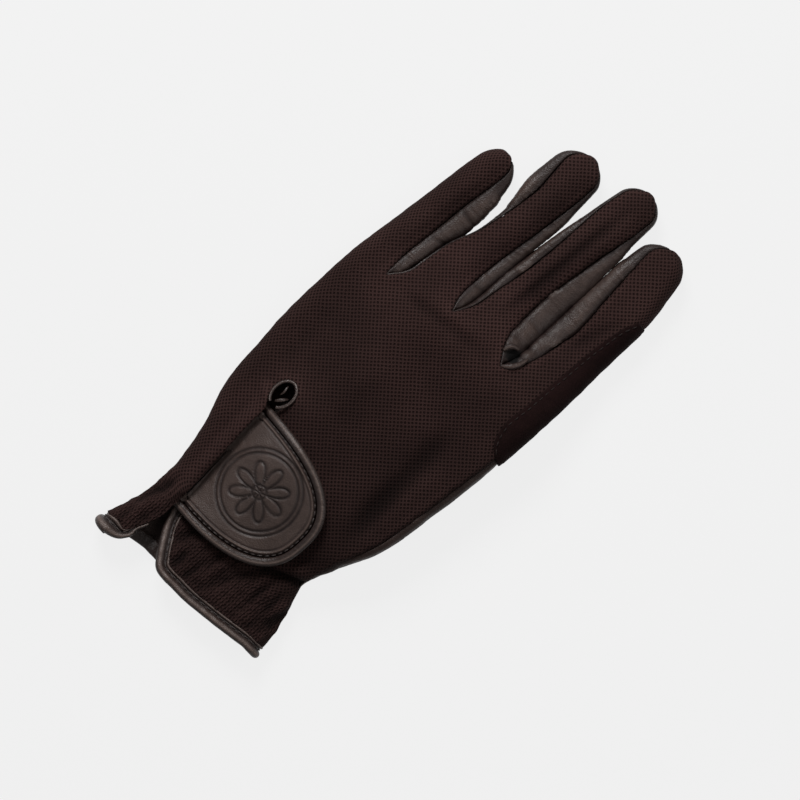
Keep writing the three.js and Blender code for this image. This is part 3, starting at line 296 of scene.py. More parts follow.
def with_rolled_side(s, strip, flat, h, first, columns):
    """A strip's grid and its cloth places. The outer strips also get the rounded edge, an ellipse from the
    angle first round to the seam, on which the cloth goes on by the arc's length."""
    cloth = flat[..., :2]
    if strip in (1, 2):
        return flat, cloth
    side, turn, edge = (slice(0, 1), -1, s["left"]) if strip == 0 else (slice(-1, None), 1, s["right"])
    x, y = cloth[:, side, 0], cloth[:, side, 1]
    seam = LITTLE_SEAM if strip == 0 else seam_angle(y, s)
    angle = mix(first, seam, np.linspace(0, 1, columns + 1)[None, 1:])
    rim = roll(edge, turn, y, angle, {k: v[:, side] for k, v in h.items()}, edge_rolled(s))
    rim_cloth = np.stack(np.broadcast_arrays(x + turn * np.radians(np.abs(first - angle)) * EDGE_ARC, y), -1)
    if strip == 0:
        return np.concatenate((rim[:, ::-1], flat), 1), np.concatenate((rim_cloth[:, ::-1], cloth), 1)
    return np.concatenate((flat, rim), 1), np.concatenate((cloth, rim_cloth), 1)


def back_strip(strip, row, out, flat_columns, roll_columns):
    """A grid of the back from one finger's seam to the next, to which it drops by a power of the arch."""
    s = section(strip, "back_little" if strip == 0 else "back_thumb", row, out)
    x0, x1 = s["left" if strip == 0 else "left_seam"], s["right" if strip == 3 else "right_seam"]
    rolled = edge_rolled(s)
    x0 = x0 + EDGE_ROLL * rolled * (strip == 0)
    x1 = x1 - EDGE_ROLL * rolled * (strip == 3)
    t, arch, x, y = laid_across(s, strip, x0, x1, flat_columns)
    if strip == 0:
        y = y - CORNER_SAG * PALM_LENGTH * 4 * t * (1 - t) * (1 - row) ** 4
    h = heights(s, x, y)
    h["crown"] = mix(h["back_seam"], h["crown"], 1 - np.abs(arch) ** ARCH_POWER) - tuck(x, y) * (strip > 0)
    return with_rolled_side(s, strip, np.stack((x, y, h["crown"]), -1), h, 90.0, roll_columns)


def weld(grids, turned=False, keep=None):
    """Points, cloth places and faces of grids of points, where points at one place become one point.
    Every four neighbours in a grid make a face, and a face whose corners coincide there loses them."""
    points = np.concatenate([g[0].reshape(-1, 3) for g in grids])
    cloth = np.concatenate([g[1].reshape(-1, 2) for g in grids])
    faces, first = [], 0
    for grid, _ in grids:
        rows, columns = grid.shape[:2]
        index = first + np.arange(rows * columns).reshape(rows, columns)
        quads = np.stack((index[:-1, :-1], index[:-1, 1:], index[1:, 1:], index[1:, :-1]), -1)
        faces.append(quads.reshape(-1, 4))
        first += rows * columns
    faces = np.concatenate(faces)
    _, where, which = np.unique(np.round((points + WELD_SHIFT) / WELD_STEP).astype(np.int64), axis=0,
                                return_index=True, return_inverse=True)
    points, cloth, faces = points[where], cloth[where], which.reshape(-1)[faces]
    if keep is not None:
        faces = faces[keep(points[faces].mean(1))]
    doubled = faces == np.roll(faces, -1, 1)
    faces = faces[doubled.sum(1) <= 1]
    if turned:
        faces = faces[:, ::-1]
    return points, cloth, faces


def normals_of(points, faces):
    """The direction out of the surface at each point: the sum of its faces' cross products of diagonals."""
    cross = np.cross(points[faces[:, 2]] - points[faces[:, 0]], points[faces[:, 3]] - points[faces[:, 1]])
    total = np.zeros_like(points)
    for corner in range(4):
        np.add.at(total, faces[:, corner], cross)
    return total / np.maximum(np.linalg.norm(total, axis=1, keepdims=True), 1e-9)


def distance_to(points, line):
    """Distance from each point to the nearest of a line's points."""
    nearest = np.full(len(points), np.inf)
    for some in np.array_split(line, max(len(line) // 200, 1)):
        gap = points[:, None, :] - some[None, :, :]
        nearest = np.minimum(nearest, np.sqrt((gap**2).sum(-1).min(1)))
    return nearest


def rim_points(faces, points):
    """The points of the edges that only one face has."""
    edges = np.concatenate([np.stack((faces[:, k], faces[:, (k + 1) % 4]), 1) for k in range(4)])
    edges = np.sort(edges[edges[:, 0] != edges[:, 1]], 1)
    found, count = np.unique(edges, axis=0, return_counts=True)
    return points[np.unique(found[count == 1])]


def press(x, y, folds):
    """Depth of all folds at a place: each is a bell across its line that fades out at its ends."""
    total = 0 * x
    for fold in folds:
        (x0, y0), (x1, y1) = fold["start"], fold["end"]
        length = np.hypot(x1 - x0, y1 - y0)
        along = ((x - x0) * (x1 - x0) + (y - y0) * (y1 - y0)) / length
        across = ((x - x0) * (y1 - y0) - (y - y0) * (x1 - x0)) / length
        ends = step(along, -2, 0.3 * length) * (1 - step(along, 0.7 * length, length + 2))
        total = total + fold["depth"] * ends * bell(across, fold["width"])
    return total


def ripple(points, size, stretch=(1, 1, 1), waves=14):
    """Soft noise between about -1 and 1: a sum of sine waves of like length in random directions."""
    total = np.zeros(len(points))
    for _ in range(waves):
        way = rng.normal(size=3)
        way /= np.linalg.norm(way)
        length = size * rng.uniform(0.7, 1.5)
        total += np.sin(2 * np.pi * (points / stretch) @ way / length + rng.uniform(0, 2 * np.pi))
    return total / np.sqrt(waves)


class Value:
    """A socket of a shader, on which Python's signs for sums add Math nodes."""

    def __init__(self, shader, socket):
        self.shader, self.socket = shader, socket

    def __add__(self, other): return self.shader.math("ADD", self, other)
    def __radd__(self, other): return self.shader.math("ADD", other, self)
    def __sub__(self, other): return self.shader.math("SUBTRACT", self, other)
    def __rsub__(self, other): return self.shader.math("SUBTRACT", other, self)
    def __mul__(self, other): return self.shader.math("MULTIPLY", self, other)
    def __rmul__(self, other): return self.shader.math("MULTIPLY", other, self)


class Shader:
    """A material's nodes, with one method for any node and a few that name the common ones."""

    def __init__(self, name, roughness=0.6, specular=0.5, sheen=0.0, coat=0.0):
        self.material = bpy.data.materials.new(name)
        self.material.use_nodes = True
        self.tree = self.material.node_tree
        self.skin = self.tree.nodes["Principled BSDF"]
        self.skin.inputs["Roughness"].default_value = roughness
        self.skin.inputs["Specular IOR Level"].default_value = specular
        self.skin.inputs["Sheen Weight"].default_value = sheen
        self.skin.inputs["Sheen Roughness"].default_value = 0.4
        self.skin.inputs["Coat Weight"].default_value = coat

    def node(self, kind, settings=None, out=0, **inputs):
        """A node of any kind and its chosen output. _0 is its first socket; others go by their names."""
        made = self.tree.nodes.new(kind)
        for name, value in (settings or {}).items():
            setattr(made, name, value)
        for name, value in inputs.items():
            key = int(name[1:]) if name[0] == "_" else name.replace("_", " ")
            self.put(made.inputs[key], value)
        return Value(self, made.outputs[out])

    def put(self, socket, value):
        """Links a value to a socket, or sets a number or a colour on it."""
        if isinstance(value, Value):
            self.tree.links.new(value.socket, socket)
        elif hasattr(value, "__len__") and len(value) == 3 and socket.type == "RGBA":
            socket.default_value = (*value, 1)
        else:
            socket.default_value = value

    def math(self, operation, a, b=0.0):
        """A Math node on one or two values."""
        return self.node("ShaderNodeMath", {"operation": operation}, _0=a, _1=b)

    def place(self):
        """The place in the part's frame, in metres."""
        return self.node("ShaderNodeTexCoord", out="Object")

    def cloth(self):
        """The place on the cloth as it was before it was sewn, in millimetres."""
        return self.node("ShaderNodeUVMap", {"uv_map": "cloth"})

    def attribute(self, name):
        """A number that the mesh holds at each of its points."""
        return self.node("ShaderNodeAttribute", {"attribute_name": name}, out="Fac")

    def split(self, vector):
        """x, y and z of a vector."""
        parts = self.tree.nodes.new("ShaderNodeSeparateXYZ")
        self.put(parts.inputs[0], vector)
        return [Value(self, s) for s in parts.outputs]

    def noise(self, where, scale, detail=3.0, roughness=0.5):
        """Soft noise between 0 and 1: the scale is the number of its swells in one unit of the place."""
        return self.node("ShaderNodeTexNoise", Vector=where, Scale=scale, Detail=detail, Roughness=roughness)

    def range(self, value, low, high, to_low=0.0, to_high=1.0):
        """A soft step of the value from to_low to to_high."""
        return self.node("ShaderNodeMapRange", {"interpolation_type": "SMOOTHSTEP"}, Value=value,
                         From_Min=low, From_Max=high, To_Min=to_low, To_Max=to_high)

    def blend(self, share, a, b):
        """Colour a at share 0 and b at share 1."""
        return self.node("ShaderNodeMix", {"data_type": "RGBA"}, out=2, _0=share, _6=a, _7=b)

    def scaled(self, colour, by):
        """The colour with each of its parts multiplied."""
        return self.node("ShaderNodeVectorMath", {"operation": "SCALE"}, out="Vector", _0=colour, Scale=by)

    def finish(self, colour, bump=None, depth=0.0, roughness=None):
        """The material, with the colour, the roughness and the bump's depth in metres put into its skin."""
        self.put(self.skin.inputs["Base Color"], colour)
        if roughness is not None:
            self.put(self.skin.inputs["Roughness"], roughness)
        if bump is not None:
            shaped = self.node("ShaderNodeBump", Height=bump, Distance=depth, Strength=1.0)
            self.put(self.skin.inputs["Normal"], shaped)
        return self.material


def knitted_mesh(name, pitch=LATTICE_PITCH):
    """Mesh cloth: rows of holes along both diagonals, the product of two raised cosines. At the cuff it is
    gathered into narrow wavy ribs that run up from the hem. Its colour carries painted light: a painted
    falloff makes it darker at the cuff and the thumb side than at the fingertips, the little side's panel is
    painted paler, and the relief paints shade into its seams, folds and ribs and a highlight on its swells."""
    s = Shader(name, roughness=0.9, specular=0.06)
    x, y, _ = s.split(s.cloth())
    gather = s.range(y, CUFF_TOP - 12, CUFF_TOP, 1.0, 0.0)
    # Painted light: darker towards the cuff and the thumb side, paler towards the fingertips and on the
    # little side's panel
    painted_light_little_side = s.range(x, -28.0, -24.0, 0.3, 0.0) * s.range(y, 30.0, 90.0, 1.0, 0.0)
    painted_light_falloff = s.range(y - x, -10.0, 190.0, 0.68, 1.1) + painted_light_little_side
    x = (x - 8) * (gather * 0.25 + 1)
    sway = s.noise(s.cloth(), 0.22) * 0.9
    turn = 2 * np.pi / pitch
    one = s.math("COSINE", (x + y + sway) * (turn / 2 ** 0.5))
    other = s.math("COSINE", (x - y + sway) * (turn / 2 ** 0.5))
    lattice = (one * 0.5 + 0.5) * (other * 0.5 + 0.5)
    fuzz = s.noise(s.cloth(), 3.0, 4.0, 0.65)
    hole = s.range(lattice + (fuzz - 0.5) * 0.6, 0.02, 0.72)
    waves = s.noise(s.node("ShaderNodeCombineXYZ", X=x * 0.12, Y=y * 0.2), 1.0, 2.0) * 9
    ribs = s.math("SINE", x * (2 * np.pi / RIB_PITCH) + waves) * gather
    worn = s.range(s.noise(s.place(), 28.0), 0.35, 0.7)
    yarn = s.blend(worn, tuple(0.85 * c for c in MESH_COLOUR), tuple(1.15 * c for c in MESH_COLOUR))
    # Painted shade and light from the relief: darker in seams, folds and between the ribs, paler on the
    # swells
    relief = s.range(s.attribute("relief"), -1.0, 0.5, 0.35, 1.2) * (ribs * 0.12 + 1) * painted_light_falloff
    woven = s.scaled(s.blend(hole * (gather * -0.25 + 0.85), yarn, MESH_SHADE), relief)
    return s.finish(woven, (1 - hole) * 0.7 + fuzz * 0.4 + ribs * 0.6, 0.0004)


def pushed(points, faces, relief):
    """The points moved out of the surface by the relief."""
    return points + normals_of(points, faces) * relief[:, None]


def add_piece(name, points, corners, material, nodes, relief=None):
    """A smooth mesh in the part's frame, in metres. It rides on the part, stands for the nodes, if any, and
    takes the material."""
    mesh = bpy.data.meshes.new(name)
    mesh.from_pydata(((points + HAND_TO_PART) / 1000).tolist(), [], corners)
    mesh.polygons.foreach_set("use_smooth", np.ones(len(corners), bool))
    # The relief also goes to the shaders as a tone for painted light and shade
    if relief is not None:
        mesh.attributes.new("relief", "FLOAT", "POINT").data.foreach_set("value", relief)
    mesh.materials.append(material)
    mesh.update()
    made = bpy.data.objects.new(name, mesh)
    bpy.context.collection.objects.link(made)
    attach(made, "root")
    if nodes:
        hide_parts(*nodes)
    return made


def cloth_piece(name, points, cloth, faces, material, node, wall, relief):
    """A panel of the glove: its surface, kept above the floor, with cloth places as its UV map and a wall on
    its inner side. Faces with a doubled corner come last and lose it."""
    doubled = (faces == np.roll(faces, -1, 1)).any(1)
    used, corner = np.unique(np.concatenate((faces[~doubled], faces[doubled])), return_inverse=True)
    fours, threes = np.split(corner.reshape(-1, 4), [(~doubled).sum()])
    corners = fours.tolist() + [list(dict.fromkeys(face)) for face in threes.tolist()]
    made = add_piece(name, np.maximum(points, (-np.inf, -np.inf, 0))[used], corners, material, [node],
                     relief[used])
    at = np.zeros(len(made.data.loops), int)
    made.data.loops.foreach_get("vertex_index", at)
    made.data.uv_layers.new(name="cloth").data.foreach_set("uv", cloth[used][at].ravel())
    solid = made.modifiers.new("wall", "SOLIDIFY")
    solid.thickness, solid.offset = wall / 1000, -1


hand_rows = np.sort(np.concatenate((np.linspace(0, 1, 190), [KEYHOLE_ROW])))
strips = []
for strip, columns in enumerate(BACK_COLUMNS):
    strips.append(back_strip(strip, *stations(strip, hand_rows, 84), *columns))
points, cloth, faces = weld(strips)
seams = rim_points(faces, points)
hem = seams[:, 1] < 0.16 * PALM_LENGTH
seam_gap = distance_to(points, seams[~hem])
hem_gap = distance_to(points, seams[hem])
slit = (np.abs(points[:, 0] + 25) < 6) & (points[:, 1] < 0.62 * PALM_LENGTH)
relief = -SEAM_DEPTH * bell(seam_gap, SEAM_WIDTH) * (1 - 0.6 * slit)
relief += SEAM_BEAD * bell(seam_gap - 1.8, 1.0)
inward = PALM_WIDTH * read(BACK_LINES, "slit_little", points[:, 1] / PALM_LENGTH) - points[:, 0]
over_tab = step(points[:, 1], FOLD_OVER[0], FOLD_OVER[0] + FOLD_END)
over_tab *= 1 - step(points[:, 1], FOLD_OVER[1] - FOLD_END, FOLD_OVER[1])
relief += FOLD_LIFT * (inward > -0.2) * (1 - step(inward, 1.2, 7)) * over_tab
relief -= press(points[:, 0], points[:, 1], BACK_FOLDS)
cuff = 1 - step(points[:, 1], *CUFF_FADE)
relief += RUFFLE * cuff * ripple(points, 5, (0.8, 3, 1))
relief += FINE_RUFFLE * cuff * ripple(points, 2.4, (0.8, 1.6, 1))
relief += SWELL * ripple(points, 22) + SMALL_SWELL * ripple(points, 9)
relief += SEAM_GATHER * ripple(points, 4) * bell(seam_gap, 3)
relief *= 1 - 0.7 * bell(hem_gap, 2.0)
points = pushed(points, faces, relief)
points[:, 1] -= corner_drop(points[:, 0], points[:, 1])
mesh_material = knitted_mesh("knitted mesh")
# The mesh's tone: its relief, with painted shade added in the folds
tone = relief + FOLD_PAINTED_SHADE * press(cloth[:, 0], cloth[:, 1], BACK_FOLDS)
cloth_piece("mesh_back", points, cloth, faces, mesh_material, "back", MESH_WALL, tone)

# The palm and the fingers' fronts: one panel of soft thin leather that rolls up over the thumb edge.
# Elastic sewn across the wrist gathers it, and an oval is cut out of it for the thumb.
HOLE_WIDTH, HOLE_LENGTH, HOLE_ROWS = 21, 32, (0.38, 0.66)
LEATHER_WALL = 0.9
LEATHER_COLOUR = (0.032, 0.0208, 0.0175)
LEATHER_SHADE = (0.009, 0.0048, 0.0042)
TOUCH_START = 0.62
ZIGZAG_ROWS, ZIGZAG_PITCH, ZIGZAG_REACH = (17, 25, 33), 6.4, 3.2
ZIGZAG_SPAN, ZIGZAG_DEPTH, ZIGZAG_SWELL, WRIST_RUFFLE = (-0.36, 0.3), 0.55, 0.3, 0.35
PALM_COLUMNS = ((12, 6), (18, 0), (16, 0), (26, 22))


def leather(name, colour, shade, grain=1.0, roughness=0.46, gloss=0.25):
    """Fine leather: small cells with pressed edges over soft wrinkles. Its colour takes painted light and
    shade from the relief: it is painted paler where it stands high, with a painted highlight on the highest
    parts, and it is smoother there; in its valleys and hollows it gets painted shade and is matt."""
    s = Shader(name, roughness=roughness, specular=gloss)
    place = s.place()
    cells = s.node("ShaderNodeTexVoronoi", {"feature": "SMOOTH_F1"}, Vector=place, Scale=1900.0 / grain)
    pebbles = s.range(cells, 0.15, 0.65, 1.0, 0.0)
    wrinkles = s.noise(place, 420.0 / grain, 4.0, 0.6)
    mottle = s.range(s.noise(place, 75.0, 5.0, 0.65), 0.3, 0.72)
    # Painted shade: the low parts of the relief blend towards the shade colour
    high = s.range(s.attribute("relief"), -0.75, 0.65)
    base = s.blend(high * 0.85 + mottle * 0.15, shade, colour)
    # Painted highlight: the high parts are lifted towards a paler colour
    painted_highlight = s.range(s.attribute("relief"), 0.15, 1.1) * s.range(mottle + wrinkles * 0.6, 0.3, 1.1, 0.7, 1.0)
    worn = s.blend(painted_highlight * 0.75, base, tuple(2.3 * c for c in colour))
    tone = s.blend((1 - pebbles) * 0.28, worn, shade)
    # Painted shade: the deepest hollows are darkened further
    painted_shade_cavity = s.range(s.attribute("relief"), -2.4, -0.9)
    tone = s.scaled(tone, painted_shade_cavity * 0.9 + 0.1)
    matt = s.range(mottle + pebbles * 0.3, 0.0, 1.3, roughness + 0.12, roughness - 0.08) + (1 - painted_shade_cavity) * 0.45
    return s.finish(tone, pebbles * 0.3 + wrinkles * 0.6 + mottle * 0.4, 0.00022, matt)


def palm_strip(strip, row, out, flat_columns, roll_columns):
    """A grid of the palm under one finger: flat in the middle, and turned up softly to its seams."""
    s = section(strip, "palm", row, out)
    rolled = edge_rolled(s)
    inset = SIDE_INSET * s["start"] * s["closing"]
    x0 = s["left"] + (EDGE_ROLL * rolled if strip == 0 else inset)
    x1 = s["right"] - (EDGE_ROLL * rolled if strip == 3 else inset)
    _, arch, x, y = laid_across(s, strip, x0, x1, flat_columns)
    h = heights(s, x, y)
    z = mix(h["low"], h["palm_seam"], step(np.abs(arch), 0.5, 1))
    return with_rolled_side(s, strip, np.stack((x, y, z), -1), h, -90.0, roll_columns)


def creases(points, size, stretch, depth):
    """Leather creases: narrow valleys where a soft noise crosses zero, on low swells."""
    swell = ripple(points, size, stretch)
    return depth * (0.35 * swell - bell(swell, 0.22))


hole_sides = [line_point("palm", line, row) for line in (3, 4) for row in HOLE_ROWS]
HOLE_MIDDLE = np.mean(hole_sides, 0) - (EDGE_ROLL / 2, 0)
palm_rows = np.linspace(0, 1, 160)
strips = []
for strip, columns in enumerate(PALM_COLUMNS):
    row, out = stations(strip, palm_rows, 70)
    row, out = (a[out[:, 0] <= TOUCH_START + 0.001] if strip == 3 else a for a in (row, out))
    if strip == 3:
        row, out = np.vstack((row, [[1.0]])), np.vstack((out, [[TOUCH_START]]))
    strips.append(palm_strip(strip, row, out, *columns))


def around_hole(middles):
    """True for faces that lie outside the thumb hole."""
    x, y, z = middles.T
    ring = np.hypot((x - HOLE_MIDDLE[0]) / HOLE_WIDTH, (y - HOLE_MIDDLE[1]) / HOLE_LENGTH)
    under = z < low_face(x, y) + 0.8
    return (ring > 0.5) | ~under


zigzags = []
for middle in ZIGZAG_ROWS:
    x = np.linspace(*ZIGZAG_SPAN, 420) * PALM_WIDTH
    swing = 2 * np.abs(2 * (x / ZIGZAG_PITCH % 1) - 1) - 1
    zigzags.append(np.stack((x, middle + ZIGZAG_REACH * swing), -1))
points, cloth, faces = weld(strips, turned=True, keep=around_hole)
seam_gap = distance_to(points, rim_points(faces, points))
out_of_hem = step(points[:, 1], 6, 12)
wrist = step(points[:, 1], 9, 18) * (1 - step(points[:, 1], 38, 52))
relief = -SEAM_DEPTH * bell(seam_gap, SEAM_WIDTH) + SEAM_BEAD * bell(seam_gap - 2, 1.1)
relief += WRIST_RUFFLE * wrist * ripple(points, 6, (0.75, 2, 1))
relief += creases(points, 26, (1, 1.6, 1), 0.28) * out_of_hem
relief += creases(points, 14, (1.5, 0.7, 1), 0.22) * step(points[:, 1], 120, 150)
relief += creases(points, 7, (1, 1, 1), 0.1)
under = points[:, 2] < low_face(points[:, 0], points[:, 1]) + 2
for line in zigzags:
    near = distance_to(points[:, :2], line)
    relief -= under * (ZIGZAG_DEPTH * bell(near, 0.7) - ZIGZAG_SWELL * bell(near - 1.9, 0.9))
points = pushed(points, faces, relief)
points[:, 1] -= corner_drop(points[:, 0], points[:, 1])
palm_under = points[under]
palm_leather = leather("palm leather", LEATHER_COLOUR, LEATHER_SHADE, gloss=0.1)
cloth_piece("leather_palm", points, cloth, faces, palm_leather, "palm", LEATHER_WALL, relief)

# The rough panel on the front of the index fingertip, which works a touch screen. It is dark looped cloth,
# sewn to the end of the palm's leather.
TOUCH_COLOUR, LOOPS = (0.026, 0.016, 0.014), 4.2
row, out = stations(3, [1.0], 90)
chosen = out[:, 0] > TOUCH_START
row, out = (np.vstack(([[v]], a[chosen])) for v, a in ((1.0, row), (TOUCH_START, out)))
points, cloth, faces = weld([palm_strip(3, row, out, 22, 12)], turned=True)
seam_gap = distance_to(points, rim_points(faces, points))
relief = -SEAM_DEPTH * bell(seam_gap, SEAM_WIDTH)
points = pushed(points, faces, relief)
rough = Shader("looped touch cloth", roughness=0.9, specular=0.3, sheen=0.1)
u, v, _ = rough.split(rough.cloth())
columns = rough.math("SINE", u * LOOPS)
loops = columns * rough.math("SINE", v * LOOPS + rough.math("SIGN", columns))
bulge = rough.range(loops, -0.4, 0.8)
touch_cloth = rough.finish(rough.blend(bulge, MESH_SHADE, TOUCH_COLOUR), bulge, 0.0005)
cloth_piece("touch_panel", points, cloth, faces, touch_cloth, "touch_tip", LEATHER_WALL,
            relief)

# The side walls between the fingers: long leather strips that turn back at each crotch. Their seams gather
# them, so they puff out and wrinkle along the middle, and two of them meet in a shallow groove that is
# darkened with painted shade.
GUSSET_COLOUR = (0.036, 0.0238, 0.0198)
WALL_PUFF, WALL_ARC = 0.75, 6
GATHER_REACH, CROTCH_HOLE, HOLE_REACH = (5, 5, 9), (18.4, 143.6), 3.0
GROOVE_WIDTH, GROOVE_DEPTH, HOLE_DEPTH = 0.42, 0.15, 0.5
# Painted shade in the walls' tone: deep below the crotch, along the seams, in the crotch hole and in the
# groove
WALL_TONE, RIM_PAINTED_SHADE, DEEP_PAINTED_SHADE, HOLE_PAINTED_SHADE, GROOVE_PAINTED_SHADE = 0.35, 0.35, 0.035, 2.4, 1.7
GUSSET_FOLDS = (
    dict(start=(-35, 165.5), end=(-26, 164.5), width=0.7, depth=0.7),
    dict(start=(-33, 150), end=(-27, 153), width=0.8, depth=0.35),
    dict(start=(-31, 181), end=(-26, 179), width=0.8, depth=0.35),
    dict(start=(11, 151), end=(18, 148), width=0.8, depth=0.5),
    dict(start=(19, 149), end=(26, 152), width=0.8, depth=0.5),
    dict(start=(12, 158), end=(19, 156), width=0.8, depth=0.3),
    dict(start=(20, 158), end=(27, 161), width=0.8, depth=0.3),
    dict(start=(-10, 150), end=(-4, 152), width=0.7, depth=0.3),
    dict(start=(-26, 172), end=(-21, 179), width=1.1, depth=0.5))


def side_strip(finger, side, out, columns):
    """A finger's side wall from its back seam to its palm seam: two curves that meet where it is widest."""
    row = np.ones_like(out)
    s = section(finger, "palm", row, out)
    seam, widest = s[side + "_seam"], s[side]
    inset = SIDE_INSET * s["start"] * s["closing"] * (1 if side == "left" else -1)
    y = s["y_" + side] - s["sag"]
    top, low = heights(s, seam, y), heights(s, widest + inset, y)
    t = np.linspace(0, 2, 2 * columns + 1)[None, :]
    a, b = np.clip(t, 0, 1), np.clip(t - 1, 0, 1)
    x = np.where(t <= 1, (1 - a) ** 2 * seam + (1 - (1 - a) ** 2) * widest, widest + inset * b**2)
    z = np.where(t <= 1, (1 - a**2) * top["back_seam"] + a**2 * low["middle"],
                 (1 - b) ** 2 * low["middle"] + (1 - (1 - b) ** 2) * low["palm_seam"])
    return np.stack((x, y + 0 * x, z), -1), np.stack((WALL_ARC * t + 0 * x, y + 0 * x), -1)


gusset_leather = leather("side wall leather", GUSSET_COLOUR, LEATHER_SHADE, 0.9, 0.45, 0.18)
for k, name in enumerate(("fourchette_little_ring", "fourchette_ring_middle", "fourchette_middle_index")):
    grids, shown = [], []
    for finger, side in ((k, "right"), (k + 1, "left")):
        _, out = stations(finger, [0.0], 110)
        grids.append(weld([side_strip(finger, side, out, 9)], turned=side == "left"))
        s = section(finger, "palm", np.ones_like(out), out)
        seen = np.abs(s[side] - s[side + "_seam"])[:, 0] * (1 - step(out[:, 0], 0.6, 0.9))
        shown.append(np.interp(grids[-1][0][:, 1], s["y_" + side][:, 0], seen))
    points, cloth = (np.concatenate((grids[0][i], grids[1][i])) for i in (0, 1))
    faces = np.concatenate((grids[0][2], grids[1][2] + len(grids[0][0])))
    crotch = points[points[:, 1].argmin()]
    from_crotch = np.hypot(points[:, 0] - crotch[0], points[:, 1] - crotch[1])
    seam_gap = distance_to(points, rim_points(faces, points)[::2])
    relief = WALL_PUFF * step(seam_gap, 0.2, 2.6) * step(np.concatenate(shown), 0.4, 3.2)
    relief -= 0.3 * bell(seam_gap, 0.6)
    relief -= press(points[:, 0], points[:, 1], GUSSET_FOLDS)
    relief += creases(points, 9, (1, 1.6, 1), 0.12) + creases(points, 2.8, (1.6, 0.55, 1), 0.16)
    relief += 0.32 * bell(from_crotch, GATHER_REACH[k]) * ripple(points, 2.2, (1.4, 0.6, 1))
    from_hole = np.hypot(points[:, 0] - CROTCH_HOLE[0], points[:, 1] - CROTCH_HOLE[1])
    hole = (k == 2) * np.exp(-(from_hole / HOLE_REACH) ** 4)
    groove = bell(cloth[:, 0] / WALL_ARC - 1, GROOVE_WIDTH) * (1 - step(from_crotch, 26, 44))
    relief = np.maximum(relief, 0.15 * bell(from_crotch, 22)) - HOLE_DEPTH * hole
    relief -= GROOVE_DEPTH * groove * (1 - hole)
    deep = np.clip(crotch[2] - points[:, 2], 0, None)
    # Painted shade: darker deep below the crotch, along the seams, in the crotch hole and along the groove
    # where the walls meet
    tone = relief - WALL_TONE - DEEP_PAINTED_SHADE * deep**2 - RIM_PAINTED_SHADE * bell(seam_gap, 1.1)
    tone = tone - HOLE_PAINTED_SHADE * hole - GROOVE_PAINTED_SHADE * groove
    points = pushed(points, faces, relief)
    cloth_piece("side_walls" + name[10:], points, cloth, faces, gusset_leather, name,
                LEATHER_WALL, tone)

# The suede patch that strengthens the index finger's outer edge. It is soft brushed cloth laid over the edge
# and held by a row of dark stitches along its border.
PATCH_EDGE = dict(up=(113.2, 114.6, 117, 120, 124, 135, 150, 170, 180, 184.8),
                  x=(43.6, 40.5, 37.6, 35.9, 34.7, 35, 35.5, 36.5, 37.8, 39.4))
PATCH_LIFT, SUEDE_WALL, PATCH_RIM, PATCH_CHANNEL, CHANNEL_AT = 0.95, 0.75, 0.45, 0.22, 1.3
SUEDE_COLOUR = (0.0068, 0.0028, 0.0026)
THREAD_COLOUR = (0.03, 0.02, 0.0175)
PATCH_THREAD_COLOUR = (0.0145, 0.0088, 0.008)
STITCH_RINGS = dict(at=(-0.5, -0.42, -0.2, 0, 0.2, 0.42, 0.5), swell=(0.15, 0.62, 1, 1.05, 1, 0.62, 0.15))
STITCH_SIDES = 6
UP, DOWN = np.array((0.0, 0.0, 1.0)), np.array((0.0, 0.0, -1.0))


def tube_corners(rings):
    """Faces of closed tubes through rings of points: quads between neighbours, and a cap at both ends."""
    index = np.arange(rings[..., 0].size).reshape(rings.shape[:-1])
    after = np.roll(index, -1, 2)
    quads = np.stack((index[:, :-1], after[:, :-1], after[:, 1:], index[:, 1:]), -1)
    return quads.reshape(-1, 4).tolist() + index[:, 0, ::-1].tolist() + index[:, -1].tolist()


def lengths_along(path):
    """How far each point of a path lies from its start, along the path."""
    return np.concatenate(([0], np.cumsum(np.linalg.norm(np.diff(path, axis=0), axis=1))))


def raised(path, z):
    """A path in plan, at the given heights."""
    return np.concatenate((path, z[:, None]), 1)


def stitches(name, path, outwards, material, length=2.1, pitch=2.9, radius=0.24, lift=0.1):
    """Short threads laid end to end along a line: each a rod with rounded ends that dips at both of them."""
    outwards = np.broadcast_to(outwards, path.shape)
    along = lengths_along(path)
    starts = np.arange(pitch / 2, along[-1] - pitch / 2, pitch)
    at = starts[:, None] + np.array(STITCH_RINGS["at"])[None, :] * length
    centre, up = (np.stack([np.interp(at, along, line[:, k]) for k in range(3)], -1)
                  for line in (path, outwards))
    up /= np.linalg.norm(up, axis=-1, keepdims=True)
    way = np.gradient(centre, axis=1)
    way /= np.linalg.norm(way, axis=-1, keepdims=True)
    aside = np.cross(way, up)
    swell = np.array(STITCH_RINGS["swell"])[None, :, None]
    centre = centre + up * (lift - radius * (1 - swell))
    angle = np.linspace(0, 2 * np.pi, STITCH_SIDES + 1)[:-1]
    spoke = (np.cos(angle)[None, None, :, None] * aside[:, :, None]
             + np.sin(angle)[None, None, :, None] * up[:, :, None])
    rings = centre[:, :, None] + radius * swell[..., None] * spoke
    add_piece(name, rings.reshape(-1, 3), tube_corners(rings), material, [])


def thread(name, colour, gloss=0.4):
    """Twisted thread: fine slanted stripes of a lighter and a darker tone."""
    s = Shader(name, roughness=0.55, specular=gloss, sheen=0.1 * gloss)
    x, y, z = s.split(s.place())
    twist = s.math("SINE", (x + y + z) * 9000)
    ply = s.range(twist, -0.7, 0.7)
    return s.finish(s.blend(ply, tuple(0.6 * c for c in colour), colour), ply, 0.0001)


